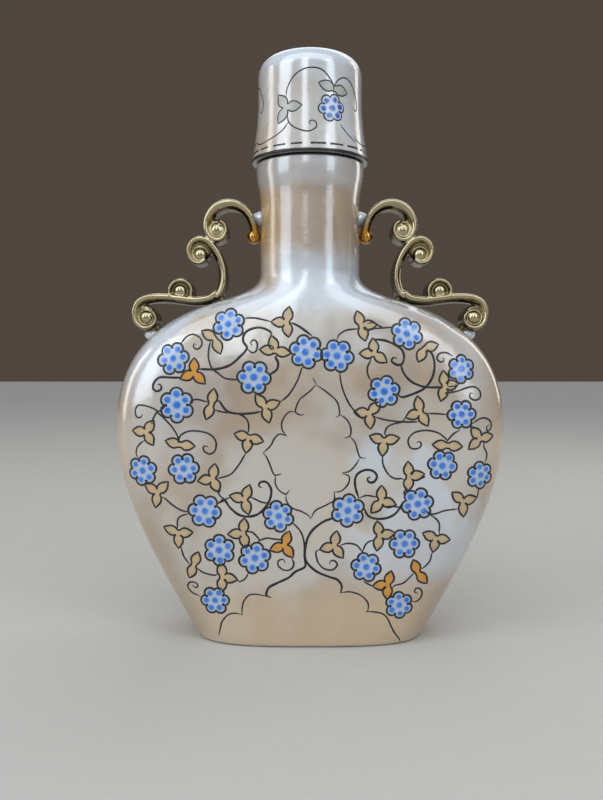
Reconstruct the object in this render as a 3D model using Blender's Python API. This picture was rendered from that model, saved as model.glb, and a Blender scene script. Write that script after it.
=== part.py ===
"""Sake flask in glazed porcelain: a flattened bottle with two gilt scroll handles, a tapered cork
in its mouth, and a small cup that stands upside down over the cork as the lid.

Metres, +Z up. The origin is the middle of the foot, on the surface the bottle stands on. The wide
faces look along -Y and +Y, and the handles stand at -X and +X.
"""

import math
from collections import namedtuple

import bmesh
import bpy
from mathutils import Vector

MM = 0.001

# Bottle, outside
FOOT_WIDTH = 77.0 * MM
FOOT_DEPTH = 40.5 * MM
FOOT_EDGE = 1.2 * MM
BELLY_WIDTH = 132.0 * MM
BELLY_DEPTH = 46.0 * MM
BELLY_HEIGHT = 70.0 * MM
SHOULDER_INSET = 22.0 * MM
SHOULDER_DROP = 14.6 * MM
SHOULDER_SLOPE = math.radians(27.5)
NECK_ROOT_HEIGHT = 124.0 * MM
NECK_RADIUS = 17.0 * MM
NECK_LENGTH = 36.6 * MM
WAIST_INSET = 0.5 * MM
WAIST_DROP = 9.0 * MM
COLLAR_LIP = 1.2 * MM
COLLAR_HEIGHT = 2.6 * MM
COLLAR_EDGE = 1.2 * MM

# How square a level slice of the bottle is: 2 is an ellipse, more is boxier
FOOT_SQUARENESS = 3.0
BELLY_SQUARENESS = 3.6
ROUND = 2.0

# Bottle, inside
WALL = 3.8 * MM
FLOOR = 4.0 * MM
FLOOR_CORNER = 3.0 * MM
FOOT_RIM = 5.0 * MM
FOOT_RECESS = 1.5 * MM

# Mouth tube that stands inside the cup
MOUTH_LENGTH = 14.0 * MM
MOUTH_WALL = 3.2 * MM
MOUTH_EDGE = 0.8 * MM
MOUTH_CLEARANCE = 2.0 * MM

# Cup that is the lid
CUP_LENGTH = 35.2 * MM
CUP_WALL = 3.0 * MM
CUP_BASE = 3.2 * MM
CUP_OVERHANG = 1.8 * MM
CUP_TAPER = 2.3 * MM
CUP_FLARE_LENGTH = 20.0 * MM
CUP_CORNER = 4.5 * MM
CUP_SEAT_GAP = 0.3 * MM

# Cork
CORK_SHANK = 15.0 * MM
CORK_HEAD = 6.0 * MM
CORK_TAPER = 1.0 / 14.0
CORK_GAP = 0.25 * MM
CORK_EDGE = 0.7 * MM

# Scroll handles
HANDLE_DEPTH = 12.0 * MM
HOOK_THICKNESS = 4.2 * MM
SWEEP_THICKNESS = 2.8 * MM
HANDLE_TOP_DROP = 10.6 * MM
SEAT_OUT = 9.6 * MM
LUTE_GAP = 0.3 * MM
LUG_RADIUS = 2.6 * MM
LUG_LENGTH = 1.5 * MM
LUG_BELOW_TOP = 8.4 * MM
PAD_RADIUS = 3.2 * MM
VOLUTE_RADII = (4.1 * MM, 4.5 * MM, 4.0 * MM, 4.4 * MM)

# The scrolls, as shares of the way out from the neck to the seat and up from the shoulder to the top
HOOK = ((0.085, 0.62), (0.09, 0.76), (0.165, 0.89), (0.30, 0.95), (0.42, 0.90), (0.485, 0.80), (0.51, 0.68))
SWEEP = ((0.43, 0.45), (0.38, 0.29), (0.385, 0.17), (0.46, 0.10), (0.60, 0.10), (0.80, 0.15), (0.98, 0.27))
SWEEP += ((1.09, 0.29), (1.135, 0.20))
VOLUTES = ((0.41, 0.71), (0.565, 0.505), (0.76, 0.23), (1.05, 0.14))
PAD = (0.42, 0.05)

# Facets
AROUND = 44
CURVE_STEPS = 8
SCROLL_STEPS = 6
VOLUTE_SIDES = 18

# Driving sizes worked out from the ones above
SHOULDER_HALF_WIDTH = BELLY_WIDTH / 2 - SHOULDER_INSET
SHOULDER_HEIGHT = NECK_ROOT_HEIGHT - SHOULDER_DROP
LEDGE_HEIGHT = NECK_ROOT_HEIGHT + NECK_LENGTH
COLLAR_RADIUS = NECK_RADIUS + COLLAR_LIP
CUP_RIM_RADIUS = COLLAR_RADIUS + CUP_OVERHANG
CUP_RIM_HEIGHT = LEDGE_HEIGHT + CUP_SEAT_GAP
CUP_TOP_HEIGHT = CUP_RIM_HEIGHT + CUP_LENGTH
MOUTH_HEIGHT = LEDGE_HEIGHT + MOUTH_LENGTH

Station = namedtuple("Station", "height half_width half_depth squareness")


def cubic(p0, p1, p2, p3, t):
    """A point on a cubic Bezier curve."""
    u = 1 - t
    return u**3 * p0 + 3 * u * u * t * p1 + 3 * u * t * t * p2 + t**3 * p3


def smooth_path(points, steps):
    """Points along a smooth curve through the given ones."""
    ends = [2 * points[0] - points[1], *points, 2 * points[-1] - points[-2]]
    path = []
    for before, here, there, after in zip(ends, ends[1:], ends[2:], ends[3:]):
        lead, trail = here + (there - before) / 6, there - (after - here) / 6
        path += [cubic(here, lead, trail, there, i / steps) for i in range(steps)]
    return [*path, points[-1]]


# --- The bottle's shape ---------------------------------------------------------------------------


def side_curves():
    """The bottle's side as three curves of (half width, height): flank, shoulder and neck root."""
    foot = Vector((FOOT_WIDTH / 2, 0))
    belly = Vector((BELLY_WIDTH / 2, BELLY_HEIGHT))
    shoulder = Vector((SHOULDER_HALF_WIDTH, SHOULDER_HEIGHT))
    root = Vector((NECK_RADIUS, NECK_ROOT_HEIGHT))
    slope = Vector((-math.cos(SHOULDER_SLOPE), math.sin(SHOULDER_SLOPE)))
    flank_lead = foot + 0.36 * BELLY_HEIGHT * Vector((0.58, 1))
    flank_trail = belly - Vector((0, 0.29 * BELLY_HEIGHT))
    rise, run = SHOULDER_HEIGHT - BELLY_HEIGHT, SHOULDER_HALF_WIDTH - NECK_RADIUS
    return (
        (foot, flank_lead, flank_trail, belly),
        (belly, belly + Vector((0, 0.56 * rise)), shoulder - 0.64 * SHOULDER_INSET * slope, shoulder),
        (shoulder, shoulder + 0.52 * run * slope, root - Vector((0, 0.55 * SHOULDER_DROP)), root),
    )


def outline(steps=CURVE_STEPS):
    """(half width, height) up the bottle's side, from the foot to the neck root."""
    points = [cubic(*curve, i / steps) for curve in side_curves() for i in range(steps)]
    return [*points, side_curves()[-1][-1]]


def outward(curve, t):
    """The outward normal of one of the side's curves."""
    before, after = cubic(*curve, max(t - 0.01, 0)), cubic(*curve, min(t + 0.01, 1))
    along = (after - before).normalized()
    return Vector((along.y, -along.x))


def on_shoulder(half_width):
    """The point of the side at this half width, above the belly, and the normal there."""
    for curve in side_curves()[1:]:
        if curve[-1].x <= half_width <= curve[0].x:
            low, high = 0.0, 1.0
            while high - low > 1e-6:
                middle = (low + high) / 2
                if cubic(*curve, middle).x > half_width:
                    low = middle
                else:
                    high = middle
            return cubic(*curve, low), outward(curve, low)
    raise ValueError("half width is off the shoulder")


def neck_share(height):
    """0 at the belly and 1 at the neck root, with most of the change close to the neck."""
    u = min(max((height - BELLY_HEIGHT) / (NECK_ROOT_HEIGHT - BELLY_HEIGHT), 0), 1)
    return 6 * u**5 - 5 * u**6


def half_depth(height):
    if height < BELLY_HEIGHT:
        swell = math.sin(math.pi / 2 * max(height, 0) / BELLY_HEIGHT)
        return (FOOT_DEPTH + (BELLY_DEPTH - FOOT_DEPTH) * swell) / 2
    return BELLY_DEPTH / 2 + (NECK_RADIUS - BELLY_DEPTH / 2) * neck_share(height)


def squareness(height):
    if height < BELLY_HEIGHT:
        return FOOT_SQUARENESS + (BELLY_SQUARENESS - FOOT_SQUARENESS) * max(height, 0) / BELLY_HEIGHT
    return BELLY_SQUARENESS + (ROUND - BELLY_SQUARENESS) * neck_share(height)


def station(half_width, height, inset=0.0):
    """A level slice of the bottle; inset thins it from front to back."""
    return Station(height, half_width, half_depth(height) - inset, squareness(height))


def turned(radius, height):
    """A round slice, for the neck, the mouth, the cup and the cork."""
    return Station(height, radius, radius, ROUND)


def outer_body(grow=0.0):
    """The bottle's outside from the edge of the foot to the neck root, grown by a gap if asked."""
    foot, *rest = outline()
    stations = [station(foot.x - FOOT_EDGE + grow, 0.0, FOOT_EDGE - grow)]
    stations.append(station(foot.x + grow, FOOT_EDGE, -grow))
    return stations + [station(p.x + grow, p.y + grow, -grow) for p in rest]


def inner_body():
    """The bottle's inside from the neck root down to the floor, one wall in from the outside."""
    points = []
    for curve in side_curves():
        for i in range(CURVE_STEPS):
            t = i / CURVE_STEPS
            points.append(cubic(*curve, t) - WALL * outward(curve, t))
    root = side_curves()[-1][-1] - Vector((WALL, 0))
    kept = [p for p in points if p.y > FLOOR + FLOOR_CORNER] + [root]
    lowest = kept[0]
    floor = [station(lowest.x - FLOOR_CORNER, FLOOR, WALL + FLOOR_CORNER)]
    return [*(station(p.x, p.y, WALL) for p in reversed(kept)), *floor]


def cup_outer_radius(height):
    """The cup flares to its rim and is upright above that."""
    u = max(0.0, 1 - (height - CUP_RIM_HEIGHT) / CUP_FLARE_LENGTH)
    return CUP_RIM_RADIUS - CUP_TAPER * (1 - u**1.6)


MOUTH_RADIUS = cup_outer_radius(MOUTH_HEIGHT) - CUP_WALL - MOUTH_CLEARANCE
BORE_RADIUS = MOUTH_RADIUS - MOUTH_WALL


def neck_and_mouth():
    """The outside of the neck, the collar and ledge that the cup stands on, and the mouth tube."""
    waist = LEDGE_HEIGHT - WAIST_DROP
    collar = LEDGE_HEIGHT - COLLAR_HEIGHT
    return [
        turned(NECK_RADIUS, (NECK_ROOT_HEIGHT + waist) / 2),
        turned(NECK_RADIUS - WAIST_INSET, waist),
        turned(NECK_RADIUS - WAIST_INSET / 2, (waist + collar) / 2),
        turned(COLLAR_RADIUS, collar),
        turned(COLLAR_RADIUS, LEDGE_HEIGHT - COLLAR_EDGE),
        turned(COLLAR_RADIUS - COLLAR_EDGE, LEDGE_HEIGHT),
        turned(MOUTH_RADIUS, LEDGE_HEIGHT),
        turned(MOUTH_RADIUS, MOUTH_HEIGHT - MOUTH_EDGE),
        turned(MOUTH_RADIUS - MOUTH_EDGE, MOUTH_HEIGHT),
        turned(BORE_RADIUS + MOUTH_EDGE, MOUTH_HEIGHT),
        turned(BORE_RADIUS, MOUTH_HEIGHT - MOUTH_EDGE),
        turned(BORE_RADIUS, LEDGE_HEIGHT - COLLAR_EDGE),
        turned(NECK_RADIUS - WAIST_INSET - WALL, waist),
        turned(NECK_RADIUS - WALL, (NECK_ROOT_HEIGHT + waist) / 2),
    ]


def foot_recess():
    """The underside, from the middle of the recess out to the rim that the bottle stands on."""
    edge = FOOT_WIDTH / 2 - FOOT_EDGE
    inner = edge - FOOT_RIM
    return [
        station(inner - FOOT_RECESS, FOOT_RECESS, FOOT_EDGE + FOOT_RIM + FOOT_RECESS),
        station(inner, 0.0, FOOT_EDGE + FOOT_RIM),
    ]


# --- Meshes ---------------------------------------------------------------------------------------


def slice_ring(at, count=AROUND):
    """The points round a level slice."""
    ring = []
    for i in range(count):
        turn = 2 * math.pi * i / count
        c, s = math.cos(turn), math.sin(turn)
        power = 2 / at.squareness
        x = math.copysign(abs(c) ** power, c) * at.half_width
        y = math.copysign(abs(s) ** power, s) * at.half_depth
        ring.append(Vector((x, y, at.height)))
    return ring


def loft(name, rings):
    """A closed solid through rings of points, made by extruding the first ring's edge."""
    bm = bmesh.new()
    place = bm.verts.layers.int.new("place")
    first = [bm.verts.new(point) for point in rings[0]]
    for index, vert in enumerate(first):
        vert[place] = index
    edges = list(bm.faces.new(first).edges)
    for ring in rings[1:]:
        made = bmesh.ops.extrude_edge_only(bm, edges=edges)["geom"]
        verts = [item for item in made if isinstance(item, bmesh.types.BMVert)]
        for vert in verts:
            vert.co = ring[vert[place]]
        fresh = set(verts)
        edges = [e for e in made if isinstance(e, bmesh.types.BMEdge) and fresh.issuperset(e.verts)]
    bmesh.ops.holes_fill(bm, edges=edges, sides=len(rings[0]))
    bmesh.ops.recalc_face_normals(bm, faces=bm.faces)
    mesh = bpy.data.meshes.new(name)
    bm.to_mesh(mesh)
    bm.free()
    obj = bpy.data.objects.new(name, mesh)
    bpy.context.scene.collection.objects.link(obj)
    return obj


def smooth(obj, angle=math.radians(35)):
    obj.data.shade_smooth()
    obj.data.set_sharp_from_angle(angle=angle)


def helper(obj):
    """Marks an object as a guide that isn't part of the bottle."""
    obj.hide_render = True
    obj.display_type = "WIRE"
    return obj


def combine(target, other, operation):
    modifier = target.modifiers.new(f"{operation.lower()}_{other.name}", "BOOLEAN")
    modifier.operation = operation
    modifier.object = helper(other)


def material(name, colour, roughness, metallic=0.0):
    made = bpy.data.materials.new(name)
    made.use_nodes = True
    shader = made.node_tree.nodes["Principled BSDF"]
    shader.inputs["Base Color"].default_value = (*colour, 1)
    shader.inputs["Roughness"].default_value = roughness
    shader.inputs["Metallic"].default_value = metallic
    return made


# --- The pieces -----------------------------------------------------------------------------------


def lug_rings(side, grow=0.0):
    """A round stub on the neck that the tip of a handle is luted to."""
    centre = LEDGE_HEIGHT - HANDLE_TOP_DROP - LUG_BELOW_TOP
    rings = []
    for x in (NECK_RADIUS - WALL / 2, NECK_RADIUS + LUG_LENGTH + grow):
        ring = []
        for i in range(VOLUTE_SIDES):
            turn = 2 * math.pi * i / VOLUTE_SIDES
            radius = LUG_RADIUS + grow
            ring.append(Vector((side * x, radius * math.cos(turn), centre + radius * math.sin(turn))))
        rings.append(ring)
    return rings


def make_bottle(glaze):
    stations = [*foot_recess(), *outer_body(), *neck_and_mouth(), *inner_body()]
    body = loft("bottle_body", [slice_ring(at) for at in stations])
    smooth(body)
    for side, word in ((-1, "left"), (1, "right")):
        combine(body, loft(f"guide_lug_{word}", lug_rings(side)), "UNION")
    body.data.materials.append(glaze)


def make_cup(glaze):
    levels = [CUP_RIM_HEIGHT + share * CUP_FLARE_LENGTH for share in (0, 0.15, 0.35, 0.6, 1)]
    top, ceiling = CUP_TOP_HEIGHT, CUP_TOP_HEIGHT - CUP_BASE
    upright = CUP_RIM_RADIUS - CUP_TAPER
    outside = [turned(cup_outer_radius(z), z) for z in levels]
    for share in (0, 1 / 3, 2 / 3, 1):
        turn = share * math.pi / 2
        radius = upright - CUP_CORNER * (1 - math.cos(turn))
        outside.append(turned(radius, top - CUP_CORNER * (1 - math.sin(turn))))
    inner_corner = max(CUP_CORNER - CUP_WALL / 2, MOUTH_EDGE)
    inside = [turned(cup_outer_radius(z) - CUP_WALL, z) for z in levels]
    inside.append(turned(upright - CUP_WALL, ceiling - inner_corner))
    inside.append(turned(upright - CUP_WALL - 0.3 * inner_corner, ceiling - 0.3 * inner_corner))
    inside.append(turned(upright - CUP_WALL - inner_corner, ceiling))
    cup = loft("cup_lid", [slice_ring(at) for at in [*reversed(outside), *inside]])
    smooth(cup)
    cup.data.materials.append(glaze)


def make_cork(cork):
    def radius(height):
        return BORE_RADIUS - CORK_GAP + (height - MOUTH_HEIGHT) * CORK_TAPER

    foot, top = MOUTH_HEIGHT - CORK_SHANK, MOUTH_HEIGHT + CORK_HEAD
    profile = [
        turned(radius(foot) - CORK_EDGE, foot),
        turned(radius(foot), foot + CORK_EDGE),
        turned(radius(top), top - CORK_EDGE),
        turned(radius(top) - CORK_EDGE, top),
    ]
    stopper = loft("cork_stopper", [slice_ring(at) for at in profile])
    smooth(stopper)
    stopper.data.materials.append(cork)


def handle_point(across, lift):
    """A point of a handle: across runs from the neck to the shoulder seat, and lift from the bottle's
    outline up to the level of the handle's top."""
    seat = SHOULDER_HALF_WIDTH + SEAT_OUT
    x = NECK_RADIUS + across * (seat - NECK_RADIUS)
    base = on_shoulder(x)[0].y
    top = LEDGE_HEIGHT - HANDLE_TOP_DROP
    return Vector((x, base + lift * (top - base)))


def bar_rings(points, side, thickness):
    """Rings along a bar: a rounded section that is wider from front to back than it is thick."""
    section = ((0, 1), (-0.75, 0.8), (-1, 0), (-0.75, -0.8), (0, -1), (0.75, -0.8), (1, 0), (0.75, 0.8))
    rings = []
    for before, here, after in zip([points[0], *points], points, [*points[1:], points[-1]]):
        along = (after - before).normalized()
        across = Vector((along.y, -along.x))
        ring = []
        for u, v in section:
            at = here + u * thickness / 2 * across
            ring.append(Vector((side * at.x, v * HANDLE_DEPTH / 2, at.y)))
        rings.append(ring)
    return rings


def disc_rings(centre, radius, side, depth):
    """A volute as a round boss across the handle, with its faces a little smaller."""
    rings = []
    for share, reach in ((0.72, -1), (1, -0.7), (1, 0.7), (0.72, 1)):
        ring = []
        for i in range(VOLUTE_SIDES):
            turn = 2 * math.pi * i / VOLUTE_SIDES
            x = centre.x + share * radius * math.cos(turn)
            z = centre.y + share * radius * math.sin(turn)
            ring.append(Vector((side * x, reach * depth / 2, z)))
        rings.append(ring)
    return rings


def handle_guides(side, word):
    """The solids that are joined into one handle: two bars, four volutes and the pad on the shoulder."""
    middles = [handle_point(*at) for at in VOLUTES]
    hook = [handle_point(*at) for at in HOOK] + [middles[1]]
    sweep = [middles[1]] + [handle_point(*at) for at in SWEEP]
    guides = []
    for name, points, thickness in (("hook", hook, HOOK_THICKNESS), ("sweep", sweep, SWEEP_THICKNESS)):
        rings = bar_rings(smooth_path(points, SCROLL_STEPS), side, thickness)
        guides.append(loft(f"guide_{word}_{name}", rings))
    pad = handle_point(*PAD)
    bosses = [*zip(middles, VOLUTE_RADII), (pad, PAD_RADIUS)]
    for number, (middle, radius) in enumerate(bosses):
        depth = HANDLE_DEPTH * (0.95 - 0.02 * number)
        guides.append(loft(f"guide_{word}_boss_{number}", disc_rings(middle, radius, side, depth)))
    return guides


def make_handle(side, word, gilt):
    handle, *others = handle_guides(side, word)
    handle.name = f"handle_{word}"
    for other in others:
        combine(handle, other, "UNION")
    seat = [slice_ring(at) for at in outer_body(LUTE_GAP)]
    seat += [slice_ring(turned(NECK_RADIUS + LUTE_GAP, LEDGE_HEIGHT - WAIST_DROP))]
    combine(handle, loft(f"guide_{word}_seat", seat), "DIFFERENCE")
    combine(handle, loft(f"guide_{word}_lug_room", lug_rings(side, LUTE_GAP)), "DIFFERENCE")
    handle.data.materials.append(gilt)


def main():
    for obj in list(bpy.data.objects):
        bpy.data.objects.remove(obj)
    glaze = material("lustre_glaze", (0.78, 0.69, 0.60), 0.16)
    gilt = material("old_gilding", (0.62, 0.52, 0.32), 0.24, 1.0)
    cork = material("cork", (0.58, 0.40, 0.24), 0.85)
    make_bottle(glaze)
    make_handle(-1, "left", gilt)
    make_handle(1, "right", gilt)
    make_cup(glaze)
    make_cork(cork)


main()
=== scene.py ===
"""Looks for the sake flask: lustre glaze, an enamel vine, gilt scroll handles and a cork, built on the
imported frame. Metres, +Z up, with the painted front towards -Y."""

import math

import bmesh
import bpy
import numpy as np
from bpy.props import FloatProperty, FloatVectorProperty, PointerProperty
from mathutils import Matrix, Vector, noise


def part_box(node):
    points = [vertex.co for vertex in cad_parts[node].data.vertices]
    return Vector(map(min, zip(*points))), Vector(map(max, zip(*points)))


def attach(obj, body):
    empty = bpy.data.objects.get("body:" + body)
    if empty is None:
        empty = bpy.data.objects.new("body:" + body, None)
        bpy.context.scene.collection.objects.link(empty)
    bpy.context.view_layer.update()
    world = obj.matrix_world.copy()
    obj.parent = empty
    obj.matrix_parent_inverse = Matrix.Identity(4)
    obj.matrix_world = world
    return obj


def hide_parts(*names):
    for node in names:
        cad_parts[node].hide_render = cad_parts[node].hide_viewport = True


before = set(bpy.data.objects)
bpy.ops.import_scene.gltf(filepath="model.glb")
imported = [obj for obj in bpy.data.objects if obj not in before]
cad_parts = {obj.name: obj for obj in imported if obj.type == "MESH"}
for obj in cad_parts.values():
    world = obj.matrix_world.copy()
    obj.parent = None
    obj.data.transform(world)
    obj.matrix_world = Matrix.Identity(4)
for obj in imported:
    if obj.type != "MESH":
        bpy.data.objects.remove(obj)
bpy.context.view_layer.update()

bl_info = {
    "name": "Sake Flask",
    "version": (1, 0, 0),
    "blender": (4, 5, 0),
    "location": "3D Viewport > Sidebar > Flask",
    "description": "Builds a painted lustre sake flask with scroll handles, a cork and a cup for its lid",
    "category": "Object",
}

MM = 0.001
BOTTLE_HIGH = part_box("bottle_body")[1]
CUP_LOW, CUP_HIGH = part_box("cup_lid")
CORK_LOW, CORK_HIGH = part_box("cork_stopper")
HANDLE_LOW, HANDLE_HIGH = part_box("handle_right")
LEDGE = CUP_LOW.z - 0.3 * MM  # the cup stands this much above the ledge of the collar
COLLAR_HEIGHT = 12 * MM  # the collar starts to swell this far below the ledge
CLEAR = 0.12 * MM  # left for the enamel that stands off the glaze


# --- What a user can change -----------------------------------------------------------------------


def length(name, default, description):
    """A size in metres that a user can change."""
    return FloatProperty(
        name=name, description=description, default=default, min=0.0, precision=4, unit="LENGTH"
    )


def colour(name, default, description):
    """A colour that a user can change."""
    return FloatVectorProperty(
        name=name, description=description, default=default, min=0.0, max=1.0, size=3, subtype="COLOR"
    )


class FlaskSizes(bpy.types.PropertyGroup):
    """Sizes of the flask. Those that the frame gives start from the frame."""

    belly_width: length("Belly width", 2 * BOTTLE_HIGH.x, "Widest part of the flask, side to side")
    belly_depth: length(
        "Belly depth", 2 * (BOTTLE_HIGH.y - CLEAR), "Thickest part of the flask, front to back"
    )
    belly_height: length("Belly height", 70 * MM, "Height of the widest part")
    foot_width: length("Foot width", 77 * MM, "Width of the foot")
    foot_depth: length("Foot depth", 40.5 * MM, "Depth of the foot")
    foot_edge: length("Foot edge", 1.2 * MM, "Rounding of the foot's outer edge")
    foot_rim: length("Foot rim", 5 * MM, "Width of the bare rim under the flask")
    foot_recess: length("Foot recess", 1.5 * MM, "Depth of the hollow inside the rim")
    shoulder_inset: length("Shoulder inset", 22 * MM, "How far in from the side the shoulder turns")
    shoulder_drop: length("Shoulder drop", 14.6 * MM, "How far below the neck the shoulder turns")
    neck_root: length("Neck root", 124 * MM, "Height at which the neck leaves the shoulder")
    neck_radius: length("Neck radius", 17 * MM, "Radius of the neck")
    collar_lip: length("Collar lip", 1.35 * MM, "How far the collar stands out from the neck")
    mouth_radius: length("Mouth radius", 13.05 * MM, "Outer radius of the tube inside the cup")
    mouth_wall: length("Mouth wall", 3.2 * MM, "Wall of the tube inside the cup")
    wall: length("Wall", 3.8 * MM, "Thickness of the flask's wall")
    cup_wall: length("Cup wall", 3.0 * MM, "Thickness of the cup at its rim")
    cup_base: length("Cup base", 3.2 * MM, "Thickness of the cup's base")
    cup_taper: length("Cup taper", 2.3 * MM, "How much narrower the cup is above its flared rim")
    cup_flare: length("Cup flare", 20 * MM, "Height over which the rim flares")
    cup_edge: length("Cup edge", 0.6 * MM, "Rounding of the cup's rim")
    cup_corner: length("Cup corner", 6.5 * MM, "Rounding of the cup's base")
    line_width: length("Line width", 0.84 * MM, "Width of an enamel line")
    line_height: length("Line height", 0.1 * MM, "How far an enamel line stands off the glaze")
    flower_radius: length("Flower radius", 5.3 * MM, "Radius of a full flower")
    dot_radius: length("Dot radius", 0.92 * MM, "Radius of a blue dot")
    leaf_length: length("Leaf length", 5.0 * MM, "Length of one lobe of a leaf")


class FlaskColours(bpy.types.PropertyGroup):
    """Colours of the glaze, the enamels, the gilding and the cork, some of them also used to paint light
    and shade.
    """

    peach: colour("Peach lustre", (0.66, 0.46, 0.27), "Glaze where the lustre is thick")
    pearl: colour("Pearl lustre", (0.60, 0.53, 0.46), "Glaze where the lustre is thin")
    rose: colour("Rose lustre", (0.45, 0.33, 0.235), "Pink clouds in the lustre")
    # Also the colour of the painted reflection and highlight on the shoulders, rims, collar, top of the cup
    # and in patches on the faces.
    frost: colour("Frosty lustre", (0.66, 0.72, 0.80), "Glaze that is almost bare, as on the shoulders")
    # Painted shade: darkens the lower part of the narrow sides.
    tan: colour("Tan lustre", (0.40, 0.28, 0.17), "Thick lustre on the narrow sides near the foot")
    # Painted reflection: the dark streaks down the neck and the lower cup.
    rose_brown: colour("Rose-brown lustre", (0.34, 0.23, 0.16), "Streaks of thick lustre down the neck")
    amber: colour("Amber lustre", (0.64, 0.37, 0.11), "Run-down lustre on the sides and the neck")
    biscuit: colour("Biscuit", (0.72, 0.66, 0.56), "Bare porcelain under the foot")
    ink: colour("Ink", (0.005, 0.005, 0.008), "Enamel of the lines")
    petal: colour("Petal", (0.46, 0.51, 0.60), "Enamel of the petals")
    halo: colour("Halo", (0.22, 0.42, 0.76), "Blue that has spread round each dot")
    blue: colour("Blue", (0.025, 0.15, 0.62), "Middle of each dot")
    pale_petal: colour("Pale petal", (0.60, 0.63, 0.70), "Enamel of the cup's petals")
    deep_blue: colour("Deep blue", (0.012, 0.045, 0.34), "Middle of each dot on the cup")
    leaf: colour("Leaf", (0.62, 0.45, 0.255), "Ochre of the leaves")
    ripe_leaf: colour("Ripe leaf", (0.72, 0.32, 0.045), "Orange of the brightest leaves")
    faint_leaf: colour("Faint leaf", (0.51, 0.49, 0.44), "Thin grey wash of the cup's leaves")
    gold: colour("Gold", (0.52, 0.435, 0.265), "Gilding on the high parts")
    # Also the painted shade on the flanks and undersides of the handles' bars.
    old_gold_and_shade: colour("Old gold", (0.07, 0.042, 0.016), "Gilding in the hollows")
    ember: colour("Amber gold", (0.70, 0.34, 0.06), "Gilding at the tip of the hook")
    cork: colour("Cork", (0.52, 0.33, 0.17), "Cork")


# --- Materials ------------------------------------------------------------------------------------


class Wire:
    """A socket of a material's node tree. Arithmetic on it adds Math nodes."""

    def __init__(self, tree, socket=None):
        self.tree, self.socket = tree, socket

    def node(self, kind, settings=(), values=(), output=0):
        """Adds a node: its settings first, then the values or links of its sockets."""
        made = self.tree.nodes.new(kind)
        for name, value in dict(settings).items():
            if name == "stops":
                stops = made.color_ramp.elements
                while len(stops) < len(value):
                    stops.new(1.0)
                for stop, (place, tint) in zip(stops, value):
                    stop.position, stop.color = place, (*tint, 1.0)
            else:
                setattr(made, name, value)
        for key, value in dict(values).items():
            if isinstance(value, Wire):
                self.tree.links.new(value.socket, made.inputs[key])
            else:
                made.inputs[key].default_value = value
        return Wire(self.tree, made.outputs[output] if made.outputs else None)

    def maths(self, operation, *values):
        return self.node("ShaderNodeMath", {"operation": operation}, dict(enumerate(values)))

    def __add__(self, other):
        return self.maths("ADD", self, other)

    __radd__ = __add__

    def __sub__(self, other):
        return self.maths("SUBTRACT", self, other)

    def __rsub__(self, other):
        return self.maths("SUBTRACT", other, self)

    def __mul__(self, other):
        return self.maths("MULTIPLY", self, other)

    __rmul__ = __mul__

    def ramp(self, low, high, to_low=0.0, to_high=1.0):
        """This value moved smoothly from low..high to to_low..to_high."""
        ends = {"Value": self, "From Min": low, "From Max": high, "To Min": to_low, "To Max": to_high}
        return self.node("ShaderNodeMapRange", {"interpolation_type": "SMOOTHSTEP"}, ends)

    def blend(self, first, second):
        """The first colour where this value is 0 and the second where it is 1."""
        settings = {"data_type": "RGBA"}
        values = {0: self, 6: first, 7: second}
        for key in (6, 7):
            if not isinstance(values[key], Wire):
                values[key] = (*values[key], 1.0)
        return self.node("ShaderNodeMix", settings, values, output=2)

    def place(self):
        """The point of the surface, in metres."""
        return self.node("ShaderNodeTexCoord", output=3)

    def stretched(self, scale):
        return self.node("ShaderNodeMapping", (), {"Vector": self.place(), "Scale": scale})

    def cloud(self, scale, detail=2.0, roughness=0.5, stretch=None):
        """Soft noise over the piece, from 0 to 1."""
        where = self.stretched(stretch) if stretch else self.place()
        values = {"Vector": where, "Scale": scale, "Detail": detail, "Roughness": roughness}
        return self.node("ShaderNodeTexNoise", (), values)

    def painted(self, name):
        """A number that the piece's own mesh holds at each point."""
        return self.node("ShaderNodeAttribute", {"attribute_name": name}, output=2)

    def height(self, value, distance, strength=1.0):
        """A normal that is tilted as if the surface rose by value times distance."""
        values = {"Height": value, "Distance": distance, "Strength": strength}
        return self.node("ShaderNodeBump", (), values)


def finish_material(name, build, **fixed):
    """A material whose Principled sockets take fixed values and what build returns."""
    made = bpy.data.materials.get(name)
    if made:
        return made
    made = bpy.data.materials.new(name)
    made.use_nodes = True
    tree = made.node_tree
    tree.nodes.clear()
    wire = Wire(tree)
    sockets = {key.replace("_", " ").title().replace("Ior", "IOR"): value for key, value in fixed.items()}
    sockets.update({key.replace("_", " ").title(): value for key, value in build(wire).items()})
    shader = wire.node("ShaderNodeBsdfPrincipled", (), sockets)
    wire.node("ShaderNodeOutputMaterial", (), {"Surface": shader})
    return made


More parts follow.
